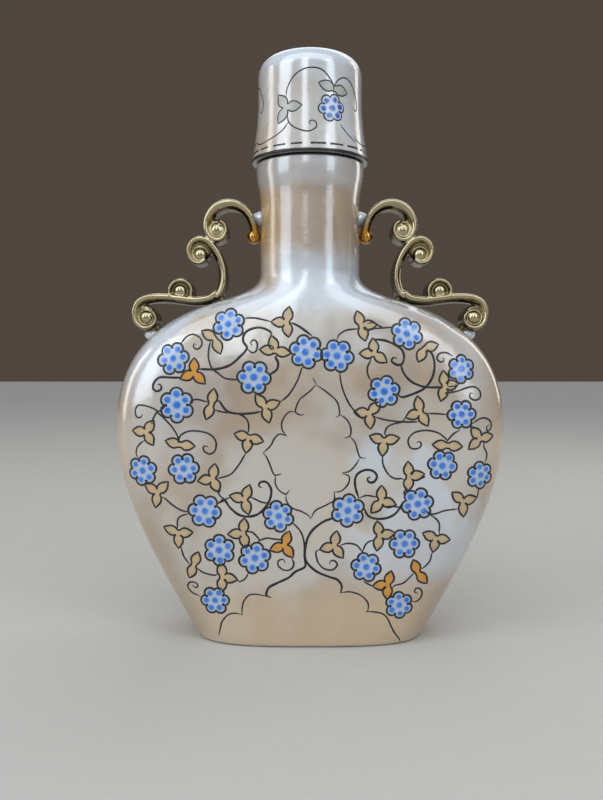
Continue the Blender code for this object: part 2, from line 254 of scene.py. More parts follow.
def lustre_glaze(c):
    """Pearly lustre: rose and pearl clouds, amber where it ran, with painted reflections and highlights in
    pale frost and dark streaks, painted shade on the lower sides and a painted shadow under the cup's rim.
    """

    def build(w):
        clouds = w.cloud(24.0, 3.0, 0.55).ramp(0.42, 0.58)
        rosy = w.cloud(47.0, 2.0, 0.5, (1.0, 1.0, 0.5)).ramp(0.4, 0.7)
        runs = w.cloud(60.0, 2.0, 0.5, (1.0, 1.0, 0.12)).ramp(0.35, 0.75)
        tone = clouds.blend(c.pearl, c.rose)
        tone = (rosy * 0.3).blend(tone, c.peach)
        tone = (w.painted("peach") * (0.75 + 0.25 * runs)).blend(tone, c.peach)
        # Painted shade: tan on the lower part of the narrow sides.
        tone = (0.8 * w.painted("tan")).blend(tone, c.tan)
        # Painted reflection: dark rose-brown streaks down the neck and the lower cup, most on the neck's
        # right.
        reflection_streaks = w.cloud(80.0, 3.0, 0.55, (1.0, 1.0, 0.12)).ramp(0.44, 0.54)
        tone = (w.painted("streak") * reflection_streaks * (0.6 + 0.3 * rosy)).blend(tone, c.rose_brown)
        # Painted reflection: pale cold patches, broken up by this noise, mostly over the right of each
        # face.
        pool = w.cloud(24.0, 4.0, 0.5, (1.0, 1.0, 0.7)).ramp(0.46, 0.52)
        tone = (0.62 * w.painted("pool") * pool).blend(tone, c.frost)
        # Painted reflection and highlight: pale frost on the shoulders, the rims of the faces, the collar
        # and the top of the cup.
        tone = (w.painted("frost") * (0.7 + 0.3 * rosy)).blend(tone, c.frost)
        tone = (w.painted("amber") * (0.5 + 0.5 * runs)).blend(tone, c.amber)
        tone = w.painted("biscuit").blend(tone, c.biscuit)
        # Painted shadow: ink-dark under the rim of the cup, where it sits over the collar.
        tone = (0.9 * w.painted("inked")).blend(tone, c.ink)
        smear = w.cloud(45.0, 3.0, 0.6).ramp(0.3, 0.8, 0.16, 0.32)
        waves = w.cloud(70.0, 2.0, 0.5, (1.0, 1.0, 0.45)) + 0.25 * w.cloud(260.0, 2.0, 0.5)
        return {
            "base_color": tone,
            "roughness": w.maths("MAXIMUM", smear, 0.75 * w.painted("biscuit")),
            "coat_weight": 1.0 - w.painted("biscuit"),
            "metallic": 0.12 - 0.12 * w.painted("biscuit"),
            "normal": w.height(waves, 0.0016, 0.3),
        }

    return finish_material(
        "painted_lustre", build, coat_roughness=0.09, coat_ior=1.62, ior=1.52,
        thin_film_thickness=66.0, thin_film_ior=1.8,
    )


def ink_enamel(c):
    """Near-black lines, thinner and greyer in places."""

    def build(w):
        worn = w.cloud(420.0, 3.0, 0.6).ramp(0.45, 0.8)
        thin = tuple(0.5 * a + 0.022 for a in c.ink)
        return {"base_color": worn.blend(c.ink, thin), "roughness": worn.ramp(0.0, 1.0, 0.3, 0.45)}

    return finish_material("ink_enamel", build, coat_weight=0.15, coat_roughness=0.12)


def petal_enamel(name, petal):
    """Pale petals that darken a little towards the outline."""

    def build(w):
        edge = w.painted("edge").ramp(0.55, 1.0)
        wash = w.cloud(300.0, 3.0, 0.6).ramp(0.3, 0.75)
        deep = tuple(0.62 * a for a in petal)
        tone = (0.6 * wash).blend(tuple(petal), tuple(min(1.0, 1.25 * a) for a in petal))
        tone = (0.7 * edge).blend(tone, deep)
        return {"base_color": tone, "roughness": wash.ramp(0.0, 1.0, 0.16, 0.3)}

    return finish_material(name, build, coat_weight=0.7, coat_roughness=0.06)


def dot_enamel(name, blue, halo, petal):
    """Cobalt in the middle of each dot, spreading into a paler ring."""

    def build(w):
        stops = ((0.0, blue), (0.52, blue), (0.68, halo), (0.92, petal), (1.0, petal))
        tone = w.node("ShaderNodeValToRGB", {"stops": stops}, {0: w.painted("edge")})
        patchy = w.cloud(700.0, 2.0, 0.5).ramp(0.35, 0.75)
        tone = (0.25 * patchy).blend(tone, tuple(halo))
        return {"base_color": tone, "roughness": patchy.ramp(0.0, 1.0, 0.12, 0.26)}

    return finish_material(name, build, coat_weight=1.0, coat_roughness=0.04)


def wash_enamel(name, tint):
    """A thin wash of one colour, deeper where it pooled towards the outline."""

    def build(w):
        edge = w.painted("edge").ramp(0.3, 1.0)
        wash = w.cloud(260.0, 3.0, 0.6).ramp(0.3, 0.75)
        tone = (0.4 * wash).blend(tuple(tint), tuple(0.68 * a for a in tint))
        tone = (0.3 * edge).blend(tone, tuple(0.55 * a for a in tint))
        return {"base_color": tone, "roughness": wash.ramp(0.0, 1.0, 0.2, 0.36)}

    return finish_material(name, build, coat_weight=0.5, coat_roughness=0.1)


def enamels(c):
    """What each kind of enamel in a drawing is painted with."""
    return {
        "ink": lambda: ink_enamel(c),
        "petal": lambda: petal_enamel("petal_enamel", c.petal),
        "dot": lambda: dot_enamel("dot_enamel", c.blue, c.halo, c.petal),
        "pale_petal": lambda: petal_enamel("pale_petal_enamel", c.pale_petal),
        "deep_dot": lambda: dot_enamel("deep_dot_enamel", c.deep_blue, c.halo, c.pale_petal),
        "leaf": lambda: wash_enamel("leaf_enamel", c.leaf),
        "ripe_leaf": lambda: wash_enamel("ripe_leaf_enamel", c.ripe_leaf),
        "faint_leaf": lambda: wash_enamel("faint_leaf_enamel", c.faint_leaf),
    }


def gilding(c):
    """Burnished gold on the high parts and old brown gold in the hollows, with shade painted on the flanks
    and undersides of the bars.
    """

    def build(w):
        hollow = w.painted("hollow")
        rub = w.cloud(170.0, 4.0, 0.6).ramp(0.35, 0.7)
        spots = w.cloud(900.0, 2.0, 0.5).ramp(0.62, 0.78)
        # Old gold in the webs, and painted shade on the flanks and undersides of the bars.
        tone = (hollow * (0.72 + 0.28 * rub)).blend(c.gold, c.old_gold_and_shade)
        tone = (0.12 * spots).blend(tone, c.old_gold_and_shade)
        tone = (0.75 * w.painted("ember")).blend(tone, c.ember)
        rough = rub.ramp(0.0, 1.0, 0.12, 0.22) + 0.06 * spots
        return {
            "base_color": tone,
            "roughness": rough,
            "normal": w.height(w.cloud(90.0, 2.0, 0.4), 0.0003, 0.1),
        }

    return finish_material("worn_and_shaded_gilding", build, metallic=1.0)


def natural_cork(c):
    """Cork with dark pores and paler grains."""

    def build(w):
        grains = w.node("ShaderNodeTexVoronoi", (), {"Vector": w.place(), "Scale": 520.0}, output=1)
        pores = w.cloud(330.0, 4.0, 0.7, (1.0, 1.0, 0.6)).ramp(0.56, 0.66)
        tint = w.node("ShaderNodeSeparateColor", (), {"Color": grains})
        tone = (0.6 * tint).blend(tuple(0.8 * a for a in c.cork), tuple(min(1, 1.3 * a) for a in c.cork))
        tone = pores.blend(tone, tuple(0.28 * a for a in c.cork))
        relief = 0.4 * tint - 1.0 * pores
        return {
            "base_color": tone,
            "roughness": pores.ramp(0.0, 1.0, 0.78, 0.95),
            "normal": w.height(relief, 0.0004, 0.7),
        }

    return finish_material("natural_cork", build)


def studio_paper(name, shade):
    """Plain pale paper with a faint fibre."""

    def build(w):
        fibre = w.cloud(90.0, 3.0, 0.6).ramp(0.3, 0.7)
        warm = (shade, 0.94 * shade, 0.85 * shade)
        tone = (0.5 * fibre).blend(warm, tuple(0.96 * a for a in warm))
        return {"base_color": tone, "roughness": fibre.ramp(0.0, 1.0, 0.55, 0.7)}

    return finish_material(name, build)


# --- Shapes ---------------------------------------------------------------------------------------


ARC_PULL = 0.55  # a cubic curve with its handles this far out is close to a quarter circle


def cubic(p0, p1, p2, p3, t):
    """A point on a cubic Bezier curve."""
    u = 1 - t
    return u**3 * p0 + 3 * u * u * t * p1 + 3 * u * t * t * p2 + t**3 * p3


def smooth_path(points, step):
    """Points about a step apart along a smooth curve through the given ones."""
    points = [Vector(p) for p in points]
    ends = [2 * points[0] - points[1], *points, 2 * points[-1] - points[-2]]
    path = []
    for before, here, there, after in zip(ends, ends[1:], ends[2:], ends[3:]):
        reach = (there - here).length
        before = here + (before - here) * min(1.0, 1.6 * reach / max((before - here).length, 1e-9))
        after = there + (after - there) * min(1.0, 1.6 * reach / max((after - there).length, 1e-9))
        lead, trail = here + (there - before) / 6, there - (after - here) / 6
        count = max(2, round(reach / step))
        path += [cubic(here, lead, trail, there, i / count) for i in range(count)]
    return [*path, points[-1]]


class Flask:
    """The outside of the flask: its half width, half depth and squareness at each height."""

    SLOPE = math.radians(27.5)
    FOOT_SQUARE, BELLY_SQUARE = 3.0, 3.6

    def __init__(self, s):
        self.s = s
        foot, belly = Vector((s.foot_width / 2, 0)), Vector((s.belly_width / 2, s.belly_height))
        shoulder = Vector((s.belly_width / 2 - s.shoulder_inset, s.neck_root - s.shoulder_drop))
        root = Vector((s.neck_radius, s.neck_root))
        slope = Vector((-math.cos(self.SLOPE), math.sin(self.SLOPE)))
        rise, run = shoulder.y - belly.y, shoulder.x - s.neck_radius
        lead = foot + 0.36 * s.belly_height * Vector((0.58, 1))
        turn = shoulder - 0.64 * s.shoulder_inset * slope
        drop = root - Vector((0, 0.55 * s.shoulder_drop))
        self.curves = (
            (foot, lead, belly - Vector((0, 0.29 * s.belly_height)), belly),
            (belly, belly + Vector((0, 0.56 * rise)), turn, shoulder),
            (shoulder, shoulder + 0.52 * run * slope, drop, root),
        )
        side = [cubic(*curve, i / 60) for curve in self.curves for i in range(60)] + [root]
        self.side = np.array([(p.y, p.x) for p in side])

    def half_width(self, z):
        return float(np.interp(z, self.side[:, 0], self.side[:, 1]))

    def neck_share(self, z):
        """0 at the belly and 1 at the neck, with most of the change close to the neck."""
        s = self.s
        u = min(max((z - s.belly_height) / (s.neck_root - s.belly_height), 0), 1)
        return 6 * u**5 - 5 * u**6

    def half_depth(self, z):
        s = self.s
        if z < s.belly_height:
            swell = math.sin(math.pi / 2 * max(z, 0) / s.belly_height)
            return (s.foot_depth + (s.belly_depth - s.foot_depth) * swell) / 2
        return s.belly_depth / 2 + (s.neck_radius - s.belly_depth / 2) * self.neck_share(z)

    def square(self, z):
        if z < self.s.belly_height:
            change = self.BELLY_SQUARE - self.FOOT_SQUARE
            return self.FOOT_SQUARE + change * max(z, 0) / self.s.belly_height
        return self.BELLY_SQUARE + (2.0 - self.BELLY_SQUARE) * self.neck_share(z)

    def on_face(self, x, z, side):
        """The point of the front (side -1) or back (side 1) face straight in front of x, z."""
        power, edge = self.square(z), self.s.foot_edge
        inset = edge * (1 - math.sqrt(1 - (1 - min(max(z / edge, 0), 1)) ** 2))
        share = min(abs(x) / (self.half_width(z) - inset), 0.9995)
        return Vector((x, side * (self.half_depth(z) - inset) * (1 - share**power) ** (1 / power), z))

    def face(self, side):
        """A mapping from flat x, z and a height above the glaze to the face."""

        def at(u, v, lift):
            here = self.on_face(u, v, side)
            across = self.on_face(u + 1e-4, v, side) - here
            up = self.on_face(u, v + 1e-4, side) - here
            return here + lift * (-side) * across.cross(up).normalized()

        return at


def ring(half_width, half_depth, z, power=2.0, count=240):
    """Evenly spaced points round a level slice."""
    turn = np.linspace(0, 2 * math.pi, 2881)
    c, s = np.cos(turn), np.sin(turn)
    x = np.sign(c) * np.abs(c) ** (2 / power) * half_width
    y = np.sign(s) * np.abs(s) ** (2 / power) * half_depth
    along = np.concatenate(([0], np.cumsum(np.hypot(np.diff(x), np.diff(y)))))
    even = np.linspace(0, along[-1], count, endpoint=False)
    return [Vector((a, b, z)) for a, b in zip(np.interp(even, along, x), np.interp(even, along, y))]


def loft(rings, shares=None):
    """A closed skin through rings of points, made by extruding the edge of the first. shares are painted
    on the rings as "edge"."""
    bm = bmesh.new()
    place, edge = bm.verts.layers.int.new("place"), bm.verts.layers.float.new("edge")
    first = [bm.verts.new(point) for point in rings[0]]
    for index, vert in enumerate(first):
        vert[place], vert[edge] = index, shares[0] if shares else 0.0
    edges = list(bm.faces.new(first).edges)
    for number, points in enumerate(rings[1:], 1):
        made = bmesh.ops.extrude_edge_only(bm, edges=edges)["geom"]
        fresh = {item for item in made if isinstance(item, bmesh.types.BMVert)}
        for vert in fresh:
            vert.co = points[vert[place]]
            vert[edge] = shares[number] if shares else 0.0
        edges = [e for e in made if isinstance(e, bmesh.types.BMEdge) and fresh.issuperset(e.verts)]
    bmesh.ops.holes_fill(bm, edges=edges, sides=len(rings[0]))
    bmesh.ops.recalc_face_normals(bm, faces=bm.faces)
    bm.verts.layers.int.remove(bm.verts.layers.int["place"])
    return bm


def turned(profile, steps=160):
    """A closed skin of revolution about Z through (radius, height) points."""
    bm = bmesh.new()
    verts = [bm.verts.new((max(r, 0.0), 0, z)) for r, z in profile]
    edges = [bm.edges.new(pair) for pair in zip(verts, verts[1:])]
    if profile[0][0] > 0 or profile[-1][0] > 0:
        edges.append(bm.edges.new((verts[-1], verts[0])))
    bmesh.ops.spin(
        bm, geom=verts + edges, axis=(0, 0, 1), cent=(0, 0, 0),
        steps=steps, angle=2 * math.pi, use_merge=True,
    )
    bmesh.ops.remove_doubles(bm, verts=bm.verts, dist=1e-7)
    bmesh.ops.recalc_face_normals(bm, faces=bm.faces)
    return bm


def rounded(corners, radii, steps=6):
    """A profile with each corner rounded to its own radius."""
    out = [Vector(corners[0])]
    for before, here, after, radius in zip(corners, corners[1:], corners[2:], radii):
        before, here, after = Vector(before), Vector(here), Vector(after)
        if not radius:
            out.append(here)
            continue
        a, b = (before - here).normalized(), (after - here).normalized()
        room = 0.49 * min((before - here).length, (after - here).length)
        reach = min(radius / math.tan(a.angle(b) / 2), room)
        start, stop = here + reach * a, here + reach * b
        lead, trail = start.lerp(here, ARC_PULL), stop.lerp(here, ARC_PULL)
        out += [cubic(start, lead, trail, stop, i / steps) for i in range(steps + 1)]
    return [*out, Vector(corners[-1])]


def piece(name, bm, material, angle=40):
    """Makes a bmesh the object of this name, smooth except at sharp edges."""
    mesh = bpy.data.meshes.new(name)
    bm.to_mesh(mesh)
    bm.free()
    mesh.materials.append(material)
    mesh.shade_smooth()
    mesh.set_sharp_from_angle(angle=math.radians(angle))
    old = bpy.data.objects.get(name)
    if old:
        bpy.data.objects.remove(old)
    obj = bpy.data.objects.new(name, mesh)
    bpy.context.scene.collection.objects.link(obj)
    return obj


def paint(obj, name, value, with_normal=False):
    """Stores value(point) or value(point, normal) at each point of the mesh, for the material to read."""
    layer = obj.data.attributes.new(name, "FLOAT", "POINT")
    found = [value(v.co, v.normal) if with_normal else value(v.co) for v in obj.data.vertices]
    layer.data.foreach_set("value", found)


def step(value, low, high):
    """0 below low and 1 above high, smooth between."""
    t = min(max((value - low) / (high - low), 0.0), 1.0)
    return t * t * (3 - 2 * t)


# --- The flask ------------------------------------------------------------------------------------


def flask_rings(s):
    """Level slices of the whole flask, from the middle of its underside out, up and down the inside."""
    shape = Flask(s)

    def level(half_width, z, inset):
        return ring(half_width, shape.half_depth(max(z, 0)) - inset, z, shape.square(max(z, 0)))

    foot = s.foot_width / 2
    bare, hollow = foot - s.foot_edge - s.foot_rim, s.foot_recess
    steps = ((2.4, 1), (1.6, 0.96), (1, 0.7), (0.5, 0.25), (0.15, 0.03), (-0.25, 0))
    rings = [level(bare - k * hollow, h * hollow, foot - bare + k * hollow) for k, h in steps]
    for i in range(7):
        turn = i / 6 * math.pi / 2
        inset = s.foot_edge * (1 - math.sin(turn))
        rings.append(level(foot - inset, s.foot_edge * (1 - math.cos(turn)), inset))
    for number, curve in enumerate(shape.curves):
        for i in range(30 if number else 34):
            point = cubic(*curve, i / (30 if number else 34))
            if point.y > s.foot_edge * 1.2:
                rings.append(level(point.x, point.y, 0))
    low, high = s.neck_root, LEDGE
    waist = high - COLLAR_HEIGHT
    lip = s.neck_radius + s.collar_lip
    straight, swell = s.neck_radius, s.collar_lip
    neck = [(straight, low), (straight + 0.1 * MM, low + 0.3 * (waist - low))]
    neck += [(straight + 0.05 * MM, low + 0.65 * (waist - low)), (straight + 0.1 * MM, waist)]
    neck += [(straight + 0.3 * swell, waist + 3 * MM), (straight + 0.72 * swell, waist + 6 * MM)]
    neck += [(lip - 0.05 * MM, waist + 8.6 * MM), (lip, high - 1.6 * MM)]
    profile = [Vector(p) for p in smooth_path(neck, 0.9 * MM)]
    bore, mouth, top = s.mouth_radius - s.mouth_wall, s.mouth_radius, BOTTLE_HIGH.z
    inner = s.neck_radius - s.wall
    corners = [(lip, high - 1.6 * MM), (lip, high), (mouth, high), (mouth, top), (bore, top)]
    corners += [(bore, high - 1.2 * MM), (inner, waist), (inner, low)]
    profile += rounded(corners, (1.3 * MM, 0.5 * MM, 1.2 * MM, 1.2 * MM, 1 * MM, 3 * MM))
    rings += [ring(p.x, p.x, p.y) for p in profile]
    for curve in reversed(shape.curves):
        for i in range(15, 0, -1):
            here, ahead = cubic(*curve, i / 15), cubic(*curve, i / 15 - 0.02)
            out = (here - ahead).normalized()
            point = here - s.wall * Vector((out.y, -out.x))
            if point.y > s.wall + 3 * MM and point.y < low - 1.5 * MM:
                rings.append(level(point.x, point.y, s.wall))
    last = shape.half_width(s.wall + 3 * MM) - s.wall
    for inset, lift in ((1 * MM, 0.9 * MM), (3.4 * MM, 0)):
        rings.append(level(last - inset, s.wall + lift, s.wall + inset))
    return rings


class FLASK_OT_bottle(bpy.types.Operator):
    """Build the glazed flask with its neck, collar, mouth and foot"""

    bl_idname = "flask.bottle"
    bl_label = "Bottle"

    def execute(self, context):
        s, c = context.scene.flask_sizes, context.scene.flask_colours
        bottle = piece("flask", loft(flask_rings(s)), lustre_glaze(c))
        shape = Flask(s)
        paint(bottle, "peach", lambda p: peach_share(shape, p))
        paint(bottle, "amber", lambda p: amber_share(shape, p))
        # Painted shade on the lower part of the narrow sides.
        paint(bottle, "tan", lambda p: lower_side_shade_share(shape, p))
        # Painted reflection and highlight: pale on the root of the neck, the shoulders, the rims (more on
        # the left) and the collar.
        paint(bottle, "frost", lambda p: sheen_share(shape, p))
        # Painted reflection: dark streaks down the neck.
        paint(bottle, "streak", reflection_streak_share)
        # Painted reflection: pale patches over the right of each face.
        paint(bottle, "pool", lambda p: reflection_patch_share(shape, p))
        paint(bottle, "biscuit", lambda p: 1 - step(p.z, 0.2 * MM, 0.7 * MM))
        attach(bottle, "bottle")
        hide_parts("bottle_body")
        return {"FINISHED"}


def reflection_streak_share(p):
    """How much dark reflection is painted in streaks: all of the neck, and most on its right."""
    return step(p.z, 122 * MM, 132 * MM) * (0.75 + 0.25 * step(p.x, 0, 10 * MM))


def peach_share(shape, p):
    """How peach the glaze is: all of the lower panel, and the edges of the faces."""
    across = abs(p.x) / max(shape.half_width(p.z), 1e-4)
    edge = step(across, 0.82, 0.96) * (1 - step(p.z, 90 * MM, 116 * MM))
    panel = 1 - step(p.z, 12 * MM, 26 * MM)
    return max(0.75 * edge, 0.85 * panel)


def lower_side_shade_share(shape, p):
    """The lower part of the narrow sides, where shade is painted in tan."""
    across = abs(p.x) / max(shape.half_width(p.z), 1e-4)
    return step(across, 0.70, 0.95) * (1 - step(p.z, 34 * MM, 70 * MM)) * step(p.z, 0, 5 * MM)


def sheen_share(shape, p):
    """Where a sky reflection and a highlight are painted pale and cold: round the root of the neck, on the
    shoulders, on the rims of the faces and on the collar.
    """
    across = abs(p.x) / max(shape.half_width(p.z), 1e-4)
    root = step(p.z, 106 * MM, 116 * MM) * (1 - step(p.z, 124 * MM, 134 * MM))
    rim = step(across, 0.74, 0.90) * step(p.z, 76 * MM, 96 * MM) * (1 - step(p.z, 124 * MM, 130 * MM))
    collar = 0.5 * step(p.z, 148 * MM, 154 * MM)
    return max(0.9 * root, (0.8 if p.x < 0 else 0.45) * rim, collar)


def reflection_patch_share(shape, p):
    """Where pale cold patches are painted as a reflection: over the right of each face, and a little on the
    left.
    """
    right = step(p.x, 6 * MM, 20 * MM)
    level = step(p.z, 16 * MM, 28 * MM) * (1 - step(p.z, 92 * MM, 112 * MM))
    return (0.25 + 0.75 * right) * level


def amber_share(shape, p):
    """Where the lustre ran amber: on the left of the neck and on the narrow sides."""
    neck = step(p.z, 112 * MM, 122 * MM) * (1 - step(p.z, 146 * MM, 156 * MM))
    left = step(-p.x, 8 * MM, 13 * MM) * neck
    across = abs(p.x) / max(shape.half_width(p.z), 1e-4)
    side = step(across, 0.93, 1.0) * (1 - step(p.z, 96 * MM, 112 * MM))
    return max(0.7 * left, 0.35 * side)


# --- The cup and the cork -------------------------------------------------------------------------


def cup_radius(s, z):
    """Outer radius of the cup: it flares to its rim and is upright above that."""
    u = max(0.0, 1 - (z - CUP_LOW.z) / s.cup_flare)
    return CUP_HIGH.x - s.cup_taper * (1 - u**1.6)


def cup_surface(s):
    """A mapping from the way round the cup, height and lift to the cup's outside."""
    middle = cup_radius(s, (CUP_LOW.z + CUP_HIGH.z) / 2)

    def at(u, v, lift):
        under = min(s.cup_edge, max(0.0, s.cup_edge - (v - CUP_LOW.z)))
        r = cup_radius(s, v) + lift - s.cup_edge + math.sqrt(s.cup_edge**2 - under**2)
        return Vector((r * math.sin(u / middle), -r * math.cos(u / middle), v))

    return at


class FLASK_OT_cup(bpy.types.Operator):
    """Build the cup that stands over the mouth as the lid"""

    bl_idname = "flask.cup"
    bl_label = "Cup"

    def execute(self, context):
        s, c = context.scene.flask_sizes, context.scene.flask_colours
        low, top, wall = CUP_LOW.z, CUP_HIGH.z, s.cup_wall
        ceiling = top - s.cup_base
        first = 2.1 * s.cup_edge
        levels = [low + first + (s.cup_flare - first) * i / 14 for i in range(15)]
        upright = CUP_HIGH.x - s.cup_taper
        inside = [(cup_radius(s, z) - wall, z) for z in levels]
        outside = [(cup_radius(s, z), z) for z in reversed(levels)]
        crown = rounded([outside[0], (upright, top), (0.0, top)], (s.cup_corner,), 10)[1:]
        vault = rounded([(0.0, ceiling), (upright - wall, ceiling), inside[-1]], (5 * MM,), 8)[:-1]
        corners = [outside[-1], (CUP_HIGH.x, low), (CUP_HIGH.x - wall, low), inside[0]]
        rim = rounded(corners, (s.cup_edge, s.cup_edge), 5)
        profile = [*vault, *reversed(inside), *reversed(rim[1:-1]), *reversed(outside), *crown]
        cup = piece("cup", turned([tuple(p) for p in profile]), lustre_glaze(c))
        wide, narrow = top - 9 * MM, top - 3 * MM

        def blush(p):
            return 0.5 * (1 - step(p.z, wide, top - 2 * MM)) * step(-p.x, -4 * MM, 18 * MM)

        paint(cup, "peach", blush)
        paint(cup, "amber", lambda p: 0.0)
        # Painted highlight: paler towards the top of the cup.
        paint(cup, "frost", lambda p: 0.25 + 0.6 * step(p.z, wide, narrow))
        # Painted reflection: dark streaks on the lower part of the cup.
        paint(cup, "streak", lambda p: 0.45 * (1 - step(p.z, wide, narrow)))
        # Painted reflection: the pale patches at half strength all over the cup.
        paint(cup, "pool", lambda p: 0.5)
        # Painted shadow: the underside of the rim is ink-dark.
        paint(cup, "inked", lambda p: 1 - step(p.z, low + 0.1 * MM, low + 0.5 * MM))
        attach(cup, "cup")
        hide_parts("cup_lid")
        return {"FINISHED"}


class FLASK_OT_cork(bpy.types.Operator):
    """Build the tapered cork that closes the mouth under the cup"""

    bl_idname = "flask.cork"
    bl_label = "Cork"

    def execute(self, context):
        c = context.scene.flask_colours
        low, top = CORK_LOW.z, CORK_HIGH.z
        taper = (top - low) / 14
        corners = [(0, low), (CORK_HIGH.x - taper, low), (CORK_HIGH.x, top), (0, top)]
        profile = rounded(corners, (0.8 * MM, 1.0 * MM), 5)
        wall = [profile[6].lerp(profile[7], i / 18) for i in range(1, 18)]
        bm = turned([tuple(p) for p in [*profile[:7], *wall, *profile[7:]]], 96)
        for vert in bm.verts:
            dent = noise.fractal(vert.co * 420, 1.0, 2.0, 3)
            out = Vector((vert.co.x, vert.co.y, 0))
            if out.length > 1e-5:
                vert.co -= out.normalized() * 0.12 * MM * max(0.0, dent)
        cork = piece("cork", bm, natural_cork(c))
        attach(cork, "cork")
        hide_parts("cork_stopper")
        return {"FINISHED"}


# --- The painted pattern --------------------------------------------------------------------------

# The pattern is drawn flat, in millimetres across and up, and then laid over the glaze.
FLOWERS = (
    # across, up, width
    (-26.3, 105.9, 10.6), (-44.3, 94.8, 10.5), (-18.1, 88.7, 11.0), (-1.5, 97.0, 11.2),
    (-43.1, 79.8, 11.4), (-54.9, 58.1, 10.0), (-41.0, 59.2, 10.3), (-34.3, 45.4, 11.0),
    (-10.4, 43.9, 10.2), (-29.6, 32.5, 10.4), (-18.1, 30.1, 10.6), (-31.3, 15.4, 9.6),
    (8.5, 95.6, 10.8), (31.1, 102.8, 10.4), (48.8, 91.4, 9.3), (23.5, 84.2, 10.4), (48.9, 76.7, 9.7),
    (42.7, 60.3, 10.0), (55.6, 56.6, 9.2), (12.1, 45.8, 11.0), (34.7, 47.7, 10.7), (30.6, 34.6, 9.9),
    (18.1, 27.1, 9.9), (29.2, 13.9, 9.3),
)
LEAVES = (
    # across, up, then the directions of the lobes in degrees
    (-7.7, 106.4, 80, 178, -82), (-30.7, 101.2, 150, -70), (-11.3, 97.3, 105, 175, -10),
    (-31.8, 80.1, 80, -110), (-14.6, 79.2, 125, -75, 20), (-53.5, 70.9, 55, 175, -60),
    (-42.1, 67.0, 165, -5), (-19.9, 69.5, 165, -15, -100), (-31.6, 56.1, 80, 190, -65),
    (-49.9, 51.1, 150, 45, -100), (-21.3, 49.4, 70, 165, -75), (-43.2, 37.8, 160, 5, -90),
    (-21.8, 38.3, 85, 185, -80), (-38.2, 27.2, 70, -110), (-28.7, 23.6, 95, -95, -10),
    (16.3, 105.3, 105, -75, 5), (20.4, 96.4, 95, 180, -35), (36.6, 98.1, -115, 15),
    (43.2, 85.9, 95, -105, 10), (18.8, 77.3, 175, 45, -85), (35.2, 77.6, 100, 200, -60),
    (23.5, 68.4, 160, 10, -95), (44.3, 66.7, 175, -5), (55.4, 68.7, 130, 10, -140),
    (31.8, 56.7, 95, 10, -95), (49.9, 48.1, 140, 10, -85), (22.9, 48.9, 90, -130, -15),
    (22.4, 37.5, 100, 10, -100), (41.0, 36.1, 155, -10, -100), (7.7, 34.2, 80, 195, -55),
)
RIPE_LEAVES = (
    (-37.4, 90.3, 90, 205, -45), (-8.5, 34.4, 70, 200, -55), (35.2, 24.7, 110, -50),
    (25.2, 21.1, 75, 185, -90),
)
THICK_STEMS = (
    ((-34.9, 91.4), (-30.4, 91.4), (-26.0, 92.6), (-22.7, 95.3), (-20.4, 98.1), (-21.6, 100.3),
     (-21.3, 102.6), (-19.3, 104.2), (-16.0, 104.7), (-12.9, 103.4)),
    ((20.2, 101.0), (23.8, 100.6), (27.1, 99.2), (29.3, 97.6), (30.0, 95.3), (29.3, 93.1),
     (27.7, 92.8), (26.0, 93.9), (26.4, 95.1), (27.7, 94.8)),
    ((-6.0, 106.2), (-3.2, 104.8), (0.5, 102.0)),
    ((-11.3, 95.3), (-10.4, 93.7), (-10.7, 91.4), (-12.4, 90.1), (-13.3, 89.3)),
    ((-29.3, 81.2), (-27.7, 78.9), (-26.0, 77.6), (-22.1, 77.1), (-18.2, 77.4), (-16.0, 77.8)),
    ((28.8, 93.1), (29.9, 90.1), (32.1, 87.6), (34.9, 86.2), (37.7, 85.6), (42.7, 85.6)),
    ((28.2, 83.1), (29.3, 82.4), (32.7, 83.4), (36.6, 85.3), (39.1, 88.7), (39.9, 92.6), (39.3, 95.9),
     (37.9, 97.6)),
    ((-41.6, 88.7), (-45.4, 88.7), (-48.8, 88.7), (-50.7, 87.0), (-51.0, 85.1), (-49.6, 84.2),
     (-48.2, 85.1), (-48.5, 86.4), (-49.4, 86.4)),
    ((-27.9, 49.2), (-26.0, 46.7), (-23.2, 44.4), (-19.9, 43.8), (-16.8, 44.7), (-14.3, 47.2),
     (-12.9, 50.0), (-12.7, 52.8), (-14.1, 55.0), (-16.0, 55.1), (-16.7, 53.9), (-15.7, 53.2)),
    ((17.4, 46.4), (18.5, 44.2), (21.0, 43.1), (24.3, 43.2), (27.1, 44.4), (28.8, 46.4), (29.6, 48.1)),
    ((15.4, 50.3), (14.6, 52.8), (14.3, 55.6), (15.2, 57.8), (17.7, 59.0), (20.2, 58.6), (21.4, 56.9),
     (20.4, 55.1), (18.7, 55.1), (18.4, 56.4), (19.3, 56.6)),
    ((7.7, 43.4), (4.3, 42.2), (1.0, 39.7), (-0.7, 37.2), (-1.5, 34.4), (-1.8, 30.6), (-0.7, 28.1),
     (2.1, 25.6), (6.0, 23.9), (8.8, 22.9), (10.2, 20.8), (9.8, 18.4)),
    ((-2.1, 32.8), (-1.8, 29.7), (-1.8, 27.2), (-4.9, 25.6), (-7.1, 23.6), (-11.0, 21.7),
     (-13.5, 20.3), (-14.4, 18.3), (-14.3, 17.5), (-12.8, 16.9)),
)
